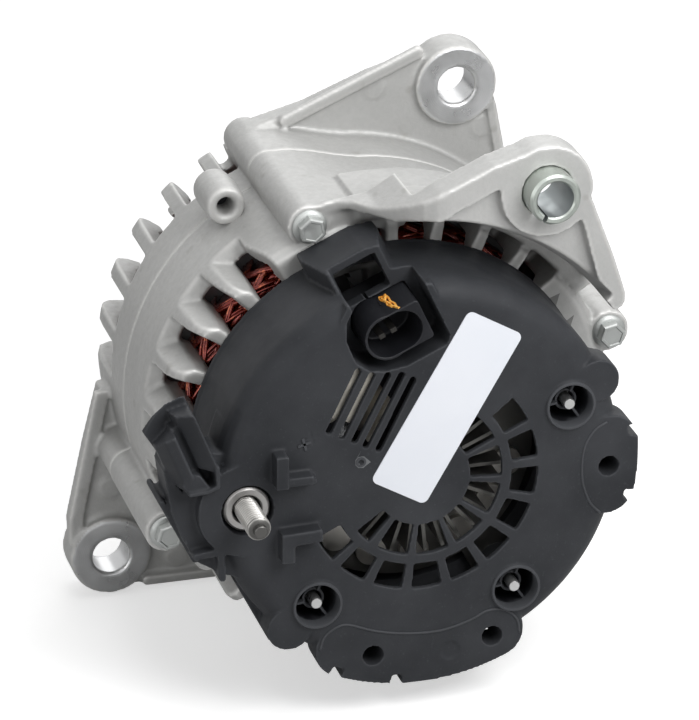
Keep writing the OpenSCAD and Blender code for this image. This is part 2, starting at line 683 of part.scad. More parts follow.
// The plug socket's own axes: x along the socket, y away from the shaft
module socket_place() {
    translate(concat(socket_at, 0)) rotate(socket_turn) children();
}
module pocket2d() {
    polygon([[15.6, -9.4], [15.6, 12.9], [12.4, 13.7], [12, 19], [10, 21], [8.2, 32], [-9, 32],
        [-9, 14.2], [-12.3, 11.6], [-15, 6], [-15.4, -2], [-12.6, -7], [-8, -9.8], [-1, -11.8],
        [13.6, -11.8]]);
}
module shell2d(grow = 0) {
    union() {
        translate([-2.6, 0]) circle(7.7 + grow);
        translate([4.3 + grow / 2, -0.1]) round_rect2d(13.8 + grow, 14.6 + 2 * grow, 1.2);
    }
}
module rear_cover() {
    color("#3c3e42") seat() difference() {
        union() {
            difference() {
                turned(concat([[0, cover_z]],
                    arc_pts([cover_r - cover_round - 0.4, cover_z - cover_round], cover_round, 90, 0, 8),
                    [[cover_r - 0.4, rim_z + 2.2], [cover_r, rim_z + 1.8], [cover_r, rim_z],
                    [cover_r - cover_wall, rim_z]],
                    arc_pts([cover_r - cover_round - 0.4, cover_z - cover_round],
                    cover_round - cover_wall, 0, 90, 8), [[0, cover_z - cover_wall]]));
                cover_vents();
            }
            // flange blocks, with skirts that run down the drum
            slab(cover_z - flange_t, cover_z) difference() {
                union() {
                    flange_low2d();
                    flange_right2d();
                    translate([59.2, 27.8]) circle(7.3);
                    translate([-44.6, -48.4]) circle(7.5);
                }
                circle(well_circle_r - 0.2);
            }
            // flat skirt between the output stud and the lower tab
            slab(rim_z + 6, cover_z - 10) polygon([[-58, -37], [-60.5, -34], [-48.8, -57.2],
                [-42, -56], [-40, -40]]);
            socket_tub();
            for (a = well_angles) translate(concat(polar(well_circle_r, a), 0)) {
                slab(cover_z - well_depth, cover_z + 0.9) circle(well_r + well_wall);
            }
            output_block();
            connector_hood();
        }
        // the drum's hollow, clear of the blocks
        slab(rim_z - 1, cover_z - flange_t - 0.01) difference() {
            circle(cover_r - cover_wall);
            socket_place() scale(1.16) pocket2d();
            translate(stud_at) circle(12);
            for (a = well_angles) translate(polar(well_circle_r, a)) circle(well_r + well_wall);
        }
        slab(rim_z - 1, cover_z - 21) circle(cover_r - cover_wall);
        for (p = [polar(64, -104.7), polar(65, -67.8), polar(63.7, -2.8)])
            post(p, flange_hole_r, cover_z - flange_t - 1, cover_z + 2);
        slab(cover_z - flange_t - 1, cover_z + 2) {
            notch2d(-113.2, 3.6);
            notch2d(-96.4, 3.2);
            notch2d(7.2, 3.4);
            notch2d(-11.4, 3.2);
        }
        post(polar(64.3, -81), 3.4, cover_z - 0.5, cover_z + 2);
        for (a = well_angles) translate(concat(polar(well_circle_r, a), 0)) stud_well_cut();
        output_cut();
        slab(cover_z - socket_tub_depth, cover_z + 9) socket_place() pocket2d();
        slab(cover_z - 30, cover_z + 9) socket_place() shell2d(0.4);
        // cooling slots beside the label
        slab(cover_z - cover_wall - 1, cover_z + 1) for (s = [[[-22, 40.6], [-31.5, 20.9]],
            [[-17.4, 38.9], [-27.2, 18.7]], [[-12.1, 38.2], [-23, 16.6]],
            [[-7.5, 37.7], [-19.2, 14.5]], [[-3.6, 35.6], [-14.9, 12.7]]]) bar2d(s[0], s[1], 2.1);
        // gate mark and polarity mark
        post([-20.9, 8.8], 1.3, cover_z - 0.4, cover_z + 1);
        slab(cover_z - 0.4, cover_z + 1) translate([-37.4, 19.4]) rotate(15) {
            square([5, 0.9], center = true);
            square([0.9, 5], center = true);
        }
    }
}
// Two rings of cooling openings round the slip rings
module cover_vents() {
    slab(cover_z - cover_wall - 1, cover_z + 1) {
        for (i = [-1:8]) rotate(12.6 - 20 * i) sector2d(30.4, 39.2, -7.4, 7.4);
        for (i = [-1:4]) rotate(7.8 - 30 * i) sector2d(16.2, 27, -12, 12);
        rotate(-138) sector2d(16.2, 27, -6.4, 6.4);
    }
}
// The inside of a stud well: three thin ribs hold a collar that grips the stud
module stud_well_cut() {
    slab(cover_z - well_depth + 1.6, cover_z + 2) difference() {
        circle(well_r);
        circle(3.7);
        for (a = [68, 188, 305]) rotate(a) translate([0, -0.4]) square([well_r + 1, 0.8]);
    }
    slab(cover_z - 5.5, cover_z + 2) circle(well_r);
    post([0, 0], 2.55, cover_z - well_depth - 2, cover_z + 2);
}
// Insulating block round the output stud, and the trough that guides its cable
module output_block() {
    top = cover_z + 2;
    slab(cover_z - 18, cover_z - 4) difference() {
        polygon([[-62, 24], [-72, 26], [-82, 22], [-85, 11], [-83, -3], [-79.4, -13],
            [-74.6, -22], [-66, -27.5], [-56, -31], [-50, -20]]);
        circle(cover_r - 12);
    }
    post(stud_at, 16.4, cover_z - 16, cover_z);
    difference() {
        slab(cover_z - 16, top) polygon([[-68, 6.2], [-68.6, 14], [-77, 35], [-80.4, 35.8],
            [-84, 33], [-87.8, 28.8], [-90.6, 23.6], [-78.6, 4.2], [-72, 4.6]]);
        translate([-77.9, 5.7, 0]) rotate(112.3) translate([3.4, 0, 0]) rotate([90, 0, 90])
            linear_extrude(50) polygon([[-2.2, top + 1], [-2.2, top], [-4.4, top - 8],
            [-5.8, top - 8], [-10.6, top], [-10.6, top + 1]]);
        // the trough's outer end is open underneath
        translate([-77.9, 5.7, 0]) rotate(112.3) translate([14, -14, cover_z - 20]) rotate([0, -24, 0])
            translate([0, 0, -9]) cube([40, 20, 14]);
    }
    slab(cover_z - 24, cover_z - 6) bar2d([-85.4, -0.6], [-74.6, -22.4], 2);
    slab(cover_z - 20, cover_z - 9) polygon([[-85.4, -1], [-74.6, -22], [-68, -20], [-80, 4]]);
    slab(cover_z - 18, cover_z) {
        bar2d([-75.6, -18.4], [-68, -17.6], 2.4);
        bar2d([-67.4, -18.2], [-67, -27], 2.4);
    }
    slab(cover_z - 1, cover_z + 4.5) {
        bar2d([-47.4, 6], [-47.4, 14.4], 2);
        bar2d([-47.4, 6], [-37.6, 6], 2);
        bar2d([-46.4, -13], [-36.6, -12.6], 2);
        bar2d([-46.4, -13], [-46.4, -20], 2);
    }
}
module output_cut() {
    post(stud_at, 8.6, cover_z - 5, cover_z + 2);
    post(stud_at, collar_neck_r + 0.3, cover_z - 22, cover_z + 2);
}
// Walls and floor of the recess round the plug socket
module socket_tub() {
    slab(cover_z - socket_tub_depth - cover_wall, cover_z - 0.5) intersection() {
        socket_place() scale(1.15) pocket2d();
        circle(cover_r - 0.5);
    }
}
// Hood over the side of the drum, narrower toward the rear
module connector_hood() {
    intersection() {
        post([0, 0], body_r - 0.4, rim_z + 2, cover_z);
        socket_place() difference() {
            intersection() {
                slab(rim_z + 2, cover_z - 4) translate([-16, 6]) square([32, 19]);
                translate([0, 40, 0]) rotate([90, 0, 0]) linear_extrude(60) polygon([
                    [-14.5, rim_z], [12.5, rim_z], [12.5, rim_z + 8], [8.6, cover_z - 13],
                    [8.6, cover_z], [-10.4, cover_z], [-10.4, cover_z - 13], [-14.5, rim_z + 8]]);
                translate([-20, 0, 0]) rotate([90, 0, 90]) linear_extrude(40) polygon([
                    [0, rim_z], [24.4, rim_z], [24.4, cover_z - 13], [17, cover_z - 10.5],
                    [15, cover_z], [0, cover_z]]);
            }
            slab(cover_z - socket_tub_depth + 0.4, cover_z + 1) translate([-8.4, 0])
                square([15.2, 22.2]);
        }
    }
}
module label() {
    color("#e8ebf3") seat() slab(cover_z, cover_z + label_t) label_place()
        round_rect2d(label_l, label_w, 2.2);
}
module cover_studs() {
    color("#a9a9a4") seat() for (a = well_angles) translate(concat(polar(well_circle_r, a), 0)) {
        post([0, 0], 2.5, rear_wall_front_z + 0.2, cover_z - 4);
        post([0, 0], 2, cover_z - 5, cover_z - 0.6);
        difference() {
            post([0, 0], 4.6, rect_pos_z + plate_t, rect_pos_z + plate_t + 3);
            post([0, 0], 2.4, rect_pos_z, rect_pos_z + 9);
        }
    }
}

module rectifier_negative() {
    color("#b6b8ba") seat() slab(rect_neg_z, rect_neg_z + plate_t) difference() {
        union() {
            sector2d(28, cover_r - 11.5, -150, 0);
            sector2d(28, cover_r - 11.5, -2, 52);
            for (a = well_angles) translate(polar(well_circle_r, a)) circle(7);
        }
        for (a = well_angles) translate(polar(well_circle_r, a)) circle(2.55);
        for (a = [-20, -42, -70, -92, -112, 8]) translate(polar(42, a)) circle(5.6);
    }
}
module rectifier_insulator() {
    color("#2c2d30") seat() slab(rect_neg_z + plate_t, rect_pos_z) difference() {
        union() {
            sector2d(48.4, cover_r - 6, -152, 0);
            sector2d(48.4, cover_r - 6, -2, 51);
            sector2d(48.4, cover_r - 6, -178, -148);
            translate(stud_at) circle(8);
        }
        for (a = well_angles) translate(polar(well_circle_r, a)) circle(2.6);
        for (a = lead_angles) translate(polar(lead_r, a)) circle(1.3);
    }
    // rings that keep the upper plate off the studs
    color("#2c2d30") seat() slab(rect_pos_z - 0.1, rect_pos_z + plate_t) difference() {
        for (a = well_angles) translate(polar(well_circle_r, a)) circle(4.5);
        for (a = well_angles) translate(polar(well_circle_r, a)) circle(2.6);
    }
}
module rectifier_positive() {
    color("#c9cac8") seat() {
        slab(rect_pos_z, rect_pos_z + plate_t) difference() {
            union() {
                sector2d(16, 44.5, -160, 0);
                sector2d(16, 44.5, -2, 50);
                sector2d(36, 57, -143, -122);
                sector2d(36, 57, -62, -44);
                sector2d(36, 57, 14, 31);
                bar2d(polar(40, -165), stud_at, 10);
                translate(stud_at) circle(8);
            }
            for (a = well_angles) translate(polar(well_circle_r, a)) circle(4.55);
            for (a = [-12, -34, -58, -84, -108, -130]) translate(polar(36, a)) circle(5);
            translate(stud_at) circle(stud_thread_r - 0.3);
        }
        for (i = [0:17]) rotate(-156 + 12 * i) slab(rect_pos_z + plate_t - 0.5, fin_top_z)
            translate([16.5, -0.6]) square([12.5, 1.2]);
    }
}
module rectifier_diodes() {
    color("#8d8f92") seat() {
        for (a = [-20, -42, -70, -92, -112, 8]) translate(concat(polar(42, a), 0)) {
            post([0, 0], 5.6, rect_neg_z, rect_neg_z + 4.6);
            post([0, 0], 0.7, rect_neg_z + 4, rect_pos_z - 0.6);
        }
        for (a = [-12, -34, -58, -84, -108, -130]) translate(concat(polar(36, a), 0)) {
            post([0, 0], 5, rect_pos_z, rect_pos_z + 5);
            post([0, 0], 0.7, rect_pos_z - 4, rect_pos_z + 1);
        }
    }
}
module output_stud() {
    color("#b8b4ae") seat() translate(concat(stud_at, 0)) {
        post([0, 0], stud_thread_r - 0.4, rect_pos_z, stud_foot_z + 0.1);
        post([0, 0], stud_thread_r, stud_foot_z, cover_z + stud_out - 3.4);
        turned([[0, cover_z + stud_out - 3.6], [stud_thread_r - 0.1, cover_z + stud_out - 3.6],
            [stud_thread_r - 0.9, cover_z + stud_out - 2.4], [2.2, cover_z + stud_out - 2.2],
            [2.2, cover_z + stud_out], [0, cover_z + stud_out]]);
    }
}
module output_collar() {
    color("#c4bfb8") seat() translate(concat(stud_at, 0)) difference() {
        union() {
            post([0, 0], collar_r, collar_z - 3.4, collar_z);
            post([0, 0], collar_neck_r, rect_pos_z + plate_t, collar_z - 3);
        }
        post([0, 0], stud_thread_r - 0.35, rect_pos_z, collar_z + 1);
    }
}

module regulator_body() {
    color("#232427") seat() difference() {
        union() {
            slab(rim_z + 6, reg_top_z) translate([-22, 30]) rotate(socket_turn)
                round_rect2d(30, 30, 3);
            slab(rim_z + 6, socket_foot_z) socket_place() translate([0, -4])
                round_rect2d(24, 20, 2);
        }
        slab(rim_z + 5, cover_z) circle(26.6);
        slab(rim_z + 5, cover_z) rotate(brush_angle) translate([0, -7.02])
            square([ring_r + 28.62, 14.04]);
    }
}
module regulator_fins() {
    color("#cfc9b8") seat() translate([-22, 30, 0]) rotate(socket_turn) {
        slab(reg_top_z, reg_top_z + 2) translate([-4, -2.8]) square([19, 18.4], center = true);
        slab(reg_top_z + 1, cover_z - 6) for (x = [-12, -8, -4, 0, 4])
            translate([x, -2.8]) square([1.3, 18], center = true);
    }
}
module connector_shell() {
    color("#1a1b1e") seat() socket_place() difference() {
        slab(socket_foot_z, cover_z - 0.6) shell2d();
        slab(cover_z - 0.6 - socket_depth, cover_z + 1) union() {
            square([socket_w - 2 * socket_h, 2 * socket_h - 0.2], center = true);
            for (x = [-1, 1]) translate([x * (socket_w / 2 - socket_h), 0]) circle(socket_h - 0.1);
        }
    }
}
module connector_pins() {
    color("#9c9485") seat() socket_place() for (x = [-2.1, 2.1])
        slab(cover_z - 0.6 - socket_depth, cover_z - 8) translate([x, 0])
            square([1.3, 1], center = true);
}

// Place of a brush: x axis from the shaft outward
module brush_place(i) {
    translate([0, 0, ring_mid_z + i * ring_pitch / 2]) rotate(brush_angle) children();
}
module brush_holder() {
    color("#26272a") seat() difference() {
        translate([0, 0, ring_mid_z]) rotate(brush_angle) union() {
            translate([ring_r + 1.6, -7, -ring_pitch / 2 - 5])
                cube([27, 14, ring_pitch + 10]);
            translate([0, 0, -ring_pitch / 2 - 5]) difference() {
                linear_extrude(ring_pitch + 10) union() {
                    circle(12.4);
                }
                translate([0, 0, -1]) cylinder(r = 10.4, h = ring_pitch + 12);
            }
        }
        for (i = [-1, 1]) brush_place(i) translate([0, -brush_b / 2 - brush_fit,
            -brush_w / 2 - brush_fit])
            cube([ring_r + 27, brush_b + 2 * brush_fit, brush_w + 2 * brush_fit]);
    }
}
module brush(i) {
    color("#3a3836") seat() brush_place(i) difference() {
        translate([ring_r - 1, -brush_b / 2, -brush_w / 2]) cube([brush_len + 1, brush_b, brush_w]);
        cylinder(r = ring_r + 0.05, h = 20, center = true);
    }
}
module brush_front() {
    brush(-1);
}
module brush_rear() {
    brush(1);
}
// Coil spring as one swept wire, from x1 to x2 along the brush
module spring(i) {
    x1 = ring_r + brush_len + 0.1 + spring_wire;
    x2 = ring_r + 26.9 - spring_wire;
    turns = 6;
    n = 18 * turns;
    m = 8;
    points = [for (k = [0:n], j = [0:m - 1]) let (a = 20 * k, b = 360 * j / m,
        r = 1.8 + spring_wire * cos(b)) [x1 + (x2 - x1) * k / n + spring_wire * sin(b),
        r * cos(a), r * sin(a)]];
    sides = [for (k = [0:n - 1], j = [0:m - 1], t = [0, 1]) let (a = k * m + j,
        b = k * m + (j + 1) % m) t == 0 ? [a, b, b + m] : [a, b + m, a + m]];
    ends = [[for (j = [m - 1:-1:0]) j], [for (j = [0:m - 1]) n * m + j]];
    color("#b5b7ba") seat() brush_place(i) polyhedron(points, concat(sides, ends));
}
module spring_front() {
    spring(-1);
}
module spring_rear() {
    spring(1);
}

// Ball bearing races with a round groove for the balls
module race_outer(ri, ro, w, z, ball) {
    pr = (ri + ro) / 2;
    translate([0, 0, z]) difference() {
        turned([[pr + ball * 0.5, 0], [ro, 0], [ro, w], [pr + ball * 0.5, w]]);
        translate([0, 0, w / 2]) rotate_extrude() translate([pr, 0]) circle(ball + ball_gap);
    }
}
module race_inner(ri, ro, w, z, ball) {
    pr = (ri + ro) / 2;
    translate([0, 0, z]) difference() {
        turned([[ri, 0], [pr - ball * 0.5, 0], [pr - ball * 0.5, w], [ri, w]]);
        translate([0, 0, w / 2]) rotate_extrude() translate([pr, 0]) circle(ball + ball_gap);
    }
}
module balls(ri, ro, w, z, ball, n) {
    for (i = [0:n - 1]) rotate(360 * i / n) translate([(ri + ro) / 2, 0, z + w / 2])
        sphere(ball);
}
module cage(ri, ro, w, z, ball, n) {
    pr = (ri + ro) / 2;
    difference() {
        turned([[pr - ball * 0.3, z + w / 2 - ball * 0.5], [pr + ball * 0.3, z + w / 2 - ball * 0.5],
            [pr + ball * 0.3, z + w / 2 + ball * 1.35], [pr - ball * 0.3, z + w / 2 + ball * 1.35]]);
        for (i = [0:n - 1]) rotate(360 * i / n) translate([pr, 0, z + w / 2])
            sphere(ball + 0.06);
    }
}
module front_bearing_outer() {
    color("#a5a8ab") seat() race_outer(fb_in, fb_out, fb_w, fb_front_z, fb_ball);
}
module front_bearing_inner() {
    color("#a5a8ab") seat() race_inner(fb_in, fb_out, fb_w, fb_front_z, fb_ball);
}
module front_bearing_balls() {
    color("#c8cbce") seat() balls(fb_in, fb_out, fb_w, fb_front_z, fb_ball, 7);
}
module front_bearing_cage() {
    color("#7d7350") seat() cage(fb_in, fb_out, fb_w, fb_front_z, fb_ball, 7);
}
module bearing_plate() {
    color("#8f9295") seat() slab(fb_rear_z, fb_rear_z + 2) difference() {
        circle(31.5);
        circle(19);
        for (a = [45:90:315]) translate(polar(27.5, a)) circle(2.1);
    }
}
module bearing_screws() {
    color("#9b9ea1") seat() for (a = [45:90:315]) translate(concat(polar(27.5, a), 0)) {
        post([0, 0], 1.75, fb_rear_z - 9, fb_rear_z + 2.5);
        turned([[0, fb_rear_z + 2], [3.4, fb_rear_z + 2], [2.4, fb_rear_z + 3.4],
            [0, fb_rear_z + 3.4]]);
    }
}
module rear_bearing_sleeve() {
    color("#d9d6cc") seat() slab(rb_front_z, rb_rear_z) difference() {
        circle(rb_out + 1.15);
        circle(rb_out + 0.02);
    }
}
module rear_bearing_outer() {
    color("#a5a8ab") seat() race_outer(rb_in, rb_out, rb_w, rb_front_z, rb_ball);
}
module rear_bearing_inner() {
    color("#a5a8ab") seat() race_inner(rb_in, rb_out, rb_w, rb_front_z, rb_ball);
}
module rear_bearing_balls() {
    color("#c8cbce") seat() balls(rb_in, rb_out, rb_w, rb_front_z, rb_ball, 8);
}
module rear_bearing_cage() {
    color("#7d7350") seat() cage(rb_in, rb_out, rb_w, rb_front_z, rb_ball, 8);
}

module shaft() {
    color("#9da0a3") seat() union() {
        turned([[0, shaft_tip_z], [6.6, shaft_tip_z], [7.8, shaft_tip_z + 1.2],
            [7.8, pulley_front_z], [fb_in, pulley_front_z], [fb_in, fb_rear_z],
            [shaft_r, fb_rear_z], [shaft_r, rotor_rear_z + fan_t], [rb_in + 1.6, rotor_rear_z + fan_t],
            [rb_in + 1.6, rb_front_z], [rb_in, rb_front_z], [rb_in, rb_rear_z],
            [shaft_rear_r, rb_rear_z], [shaft_rear_r, ring_mid_z + ring_pitch / 2 + ring_w / 2],
            [0, ring_mid_z + ring_pitch / 2 + ring_w / 2]]);
    }
}
// One pole piece: a thick plate with tapered fingers bent along the shaft
module claw(turn) {
    w_root = 2 * PI * claw_r / (2 * pole_pairs) * 0.86;
    w_tip = w_root * 0.46;
    finger = rotor_len - 3;
    difference() {
        union() {
            slab(0, claw_plate) circle(coil_r + 2);
            intersection() {
                slab(0, claw_plate) circle(claw_r);
                slab(-1, claw_plate + 1) around([for (i = [0:pole_pairs - 1])
                    turn + 360 * i / pole_pairs]) polygon([[10, -w_root * 0.4],
                    [claw_r + 2, -w_root / 2], [claw_r + 2, w_root / 2], [10, w_root * 0.4]]);
            }
            intersection() {
                turned([[coil_r + 1.4, 0], [claw_r, 0.8], [claw_r, finger], [claw_r - 4, finger],
                    [coil_r + 1.4, claw_plate]]);
                around([for (i = [0:pole_pairs - 1]) turn + 360 * i / pole_pairs])
                    translate([20, 0, 0]) rotate([90, 0, 90]) linear_extrude(40)
                    polygon([[-w_root / 2, -1], [w_root / 2, -1], [w_root / 2, claw_plate * 0.8],
                        [w_tip / 2, finger + 1], [-w_tip / 2, finger + 1],
                        [-w_root / 2, claw_plate * 0.8]]);
            }
        }
        post([0, 0], shaft_r, -1, claw_plate + 1);
    }
}
module claw_front() {
    color("#6f7275") seat() translate([0, 0, rotor_front_z]) claw(0);
}
module claw_rear() {
    color("#6f7275") seat() translate([0, 0, rotor_rear_z]) mirror([0, 0, 1])
        claw(180 / pole_pairs);
}
module coil_bobbin() {
    z1 = rotor_front_z + claw_plate;
    z2 = rotor_rear_z - claw_plate;
    color("#c9b58a") seat() difference() {
        turned([[shaft_r, z1], [coil_r - 1, z1], [coil_r - 1, z1 + 1], [23, z1 + 1],
            [23, z2 - 1], [coil_r - 1, z2 - 1], [coil_r - 1, z2], [shaft_r, z2]]);
    }
}
module field_coil() {
    z1 = rotor_front_z + claw_plate + 1;
    z2 = rotor_rear_z - claw_plate - 1;
    color("#9a4a28") seat() turned([[23, z1], [coil_r - 1.8, z1], [coil_r, z1 + 1.6],
        [coil_r, z2 - 1.6], [coil_r - 1.8, z2], [23, z2]]);
}
// Sheet fan with curved blades, plate at z = 0 and blades toward +z
module fan(n, lean) {
    difference() {
        union() {
            slab(0, fan_t) circle(36);
            for (i = [0:n - 1]) rotate(360 * i / n) {
                slab(0, fan_t) translate([30, -5]) square([17.4, 10]);
                slab(0, fan_h) intersection() {
                    translate([38, lean * 19]) difference() {
                        circle(20 + fan_t);
                        circle(20);
                    }
                    translate([31, -lean * 5 - 7]) square([17, 14]);
                    circle(claw_r - 2);
                }
            }
        }
        post([0, 0], shaft_r, -1, fan_h + 1);
    }
}
module fan_front() {
    color("#7f8285") seat() translate([0, 0, rotor_front_z]) mirror([0, 0, 1]) fan(fan_blades, 1);
}
module fan_rear() {
    color("#7f8285") seat() translate([0, 0, rotor_rear_z]) fan(fan_blades, 1);
}
module slip_ring_sleeve() {
    z1 = ring_mid_z - ring_pitch / 2 - ring_w / 2 - 2;
    z2 = ring_mid_z + ring_pitch / 2 + ring_w / 2;
    color("#7a2f25") seat() turned([[shaft_rear_r, z1], [ring_r - 0.6, z1], [ring_r - 0.6, z1 + 1.6],
        [6.2, z1 + 1.6], [6.2, z2], [shaft_rear_r, z2]]);
}
module slip_rings() {
    color("#b8734a") seat() for (i = [-1, 1])
        slab(ring_mid_z + i * ring_pitch / 2 - ring_w / 2, ring_mid_z + i * ring_pitch / 2 + ring_w / 2)
        difference() {
            circle(ring_r);
            circle(6.2);
        }
}
module spacer() {
    color("#96999c") seat() slab(pulley_rear_z, fb_front_z) difference() {
        circle(13);
        circle(fb_in);
    }
}
module pulley() {
    g = groove_pitch;
    n = grooves;
    flat = n * g / 2;
    color("#5d6064") seat() difference() {
        turned(concat([[fb_in, pulley_front_z], [14, pulley_front_z], [pulley_r - 3, pulley_front_z],
            [pulley_r + 0.6, pulley_front_z + 0.8], [pulley_r + 0.6, -flat - 0.4]],
            [for (i = [0:n - 1], k = [0:3]) [k == 0 || k == 3 ? pulley_r : pulley_r - 2.9,
                -flat + i * g + g * [0.04, 0.42, 0.58, 0.96][k]]],
            [[pulley_r + 0.6, flat + 0.4], [pulley_r + 0.6, pulley_rear_z - 0.8],
            [pulley_r - 2, pulley_rear_z], [22, pulley_rear_z], [20, pulley_rear_z - 8],
            [14, pulley_rear_z - 8], [14, pulley_rear_z], [fb_in, pulley_rear_z]]));
        turned([[12.5, pulley_front_z - 1], [21, pulley_front_z - 1], [19.5, pulley_front_z + 6],
            [12.5, pulley_front_z + 6]]);
    }
}
module pulley_nut() {
    color("#8b8e91") seat() difference() {
        intersection() {
            slab(pulley_front_z - nut_h, pulley_front_z) hex2d(24);
            turned([[0, pulley_front_z - nut_h], [11.6, pulley_front_z - nut_h],
                [14, pulley_front_z - nut_h + 1.4], [14, pulley_front_z], [0, pulley_front_z]]);
        }
        post([0, 0], 7.85, pulley_front_z - nut_h - 1, pulley_front_z + 1);
    }
}

front_bracket();
rear_bracket();
stator_core();
slot_copper();
winding_front();
winding_rear();
stator_leads();
through_bolts();
lug_bush();
tube_plug();
rear_cover();
label();
cover_studs();
rectifier_negative();
rectifier_positive();
rectifier_insulator();
rectifier_diodes();
output_stud();
output_collar();
regulator_body();
regulator_fins();
connector_shell();
connector_pins();
brush_holder();
brush_front();
brush_rear();
spring_front();
spring_rear();
front_bearing_outer();
front_bearing_inner();
front_bearing_balls();
front_bearing_cage();
bearing_plate();
bearing_screws();
rear_bearing_sleeve();
rear_bearing_outer();
rear_bearing_inner();
rear_bearing_balls();
rear_bearing_cage();
shaft();
claw_front();
claw_rear();
coil_bobbin();
field_coil();
fan_front();
fan_rear();
slip_ring_sleeve();
slip_rings();
spacer();
pulley();
pulley_nut();
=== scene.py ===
"""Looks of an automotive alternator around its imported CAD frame.

Helpers work in millimetres in the part's drawing axes: x right, y up, z toward the rear from the
belt plane. at() turns such a point into the row frame in metres, (x, -z, y). Angles are in degrees
from the x axis toward y. A shape is a pair of lists, its points and its faces.
"""
import json
import math
import random

import bmesh
import bpy
from mathutils import Matrix, Vector

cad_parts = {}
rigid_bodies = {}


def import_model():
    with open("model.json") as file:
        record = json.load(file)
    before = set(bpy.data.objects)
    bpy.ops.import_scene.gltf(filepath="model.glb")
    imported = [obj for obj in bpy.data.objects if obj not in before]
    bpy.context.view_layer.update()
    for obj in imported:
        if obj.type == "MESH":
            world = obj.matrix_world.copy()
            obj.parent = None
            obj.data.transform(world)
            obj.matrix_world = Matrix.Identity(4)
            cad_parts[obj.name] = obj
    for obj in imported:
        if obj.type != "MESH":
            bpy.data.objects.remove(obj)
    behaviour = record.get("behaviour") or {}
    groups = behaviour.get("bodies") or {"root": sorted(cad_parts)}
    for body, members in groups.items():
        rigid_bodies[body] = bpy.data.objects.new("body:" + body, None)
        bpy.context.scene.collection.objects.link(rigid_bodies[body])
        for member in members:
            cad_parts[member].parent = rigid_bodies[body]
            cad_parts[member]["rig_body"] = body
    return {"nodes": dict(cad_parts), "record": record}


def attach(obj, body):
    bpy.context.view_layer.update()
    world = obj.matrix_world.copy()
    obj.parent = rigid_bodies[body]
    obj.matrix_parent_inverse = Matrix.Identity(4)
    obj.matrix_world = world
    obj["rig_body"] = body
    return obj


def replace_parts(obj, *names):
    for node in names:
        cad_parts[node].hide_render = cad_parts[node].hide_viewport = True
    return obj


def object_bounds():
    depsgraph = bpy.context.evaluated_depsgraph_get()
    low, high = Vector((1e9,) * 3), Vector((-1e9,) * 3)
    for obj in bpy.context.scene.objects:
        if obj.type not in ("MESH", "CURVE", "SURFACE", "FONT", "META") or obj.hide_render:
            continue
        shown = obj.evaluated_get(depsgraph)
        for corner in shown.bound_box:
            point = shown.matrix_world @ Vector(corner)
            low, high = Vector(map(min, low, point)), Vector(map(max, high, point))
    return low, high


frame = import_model()
cad_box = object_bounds()
nodes = frame["nodes"]
scene = bpy.context.scene
scene.view_settings.view_transform = "Standard"
pi, sin, cos = math.pi, math.sin, math.cos


def at(x, y, z):
    return Vector((x, -z, y)) / 1000


def polar(r, a):
    return r * cos(math.radians(a)), r * sin(math.radians(a))


def axes_at(centre, angle):
    """A function that gives the place of a point of axes set at centre and turned by angle."""
    c, s = cos(math.radians(angle)), sin(math.radians(angle))
    return lambda x, y: (centre[0] + x * c - y * s, centre[1] + x * s + y * c)


# Places and heights of the part
LUG_LOW = polar(104.5, 220.9)
LUG_HIGH = polar(102.2, 64.9)
TUBE = polar(83.7, 122.9)
BOLTS = [polar(80.7, 19.8 + 90 * i) for i in range(4)]
WELLS = [polar(53.8, a) for a in (22.4, -53.3, -131.2)]
STUD = polar(58.7, 183.7)
SOCKET = polar(52.9, 100.4)
SOCKET_TURN = 24.7
plug = axes_at(SOCKET, SOCKET_TURN)
COVER_Z = 154.0
RIM_Z = 116.0
BRACKET_R = 78

# Camera of the photograph: degrees, millimetres, and the focal length in pixels
CAMERA_AZIMUTH = -16.0736
CAMERA_ELEVATION = 23.8208
CAMERA_ROLL = 0.2970
CAMERA_DISTANCE = 1525.338
CAMERA_ASIDE = -23.740
CAMERA_ABOVE = 38.664
FOCAL_PIXELS = 4714.104
PHOTO_HEIGHT = 720
SENSOR = 36


def camera():
    """Looks at the row frame from the place of the photograph's camera."""
    az, el, roll = map(math.radians, (CAMERA_AZIMUTH, CAMERA_ELEVATION, CAMERA_ROLL))
    back = Vector((sin(az) * cos(el), -cos(az) * cos(el), sin(el)))
    level = Vector((cos(az), sin(az), 0))
    upright = back.cross(level)
    right = cos(roll) * level + sin(roll) * upright
    up = -sin(roll) * level + cos(roll) * upright
    eye = right * CAMERA_ASIDE + up * CAMERA_ABOVE + back * CAMERA_DISTANCE
    eye = (eye - Vector((0, COVER_Z, 0))) / 1000
    cam = bpy.data.cameras.new("camera")
    cam.sensor_width = SENSOR
    cam.lens = FOCAL_PIXELS * SENSOR / PHOTO_HEIGHT
    cam.clip_start = 0.05
    cam.clip_end = 30
    ob = bpy.data.objects.new("camera", cam)
    scene.collection.objects.link(ob)
    place = Matrix.Identity(4)
    for i in range(3):
        place[i] = (right[i], up[i], back[i], eye[i])
    ob.matrix_world = place
    scene.camera = ob


# Materials
def shade(color, factor, lift=0.0):
    return tuple(min(1, c * factor + lift) for c in color)


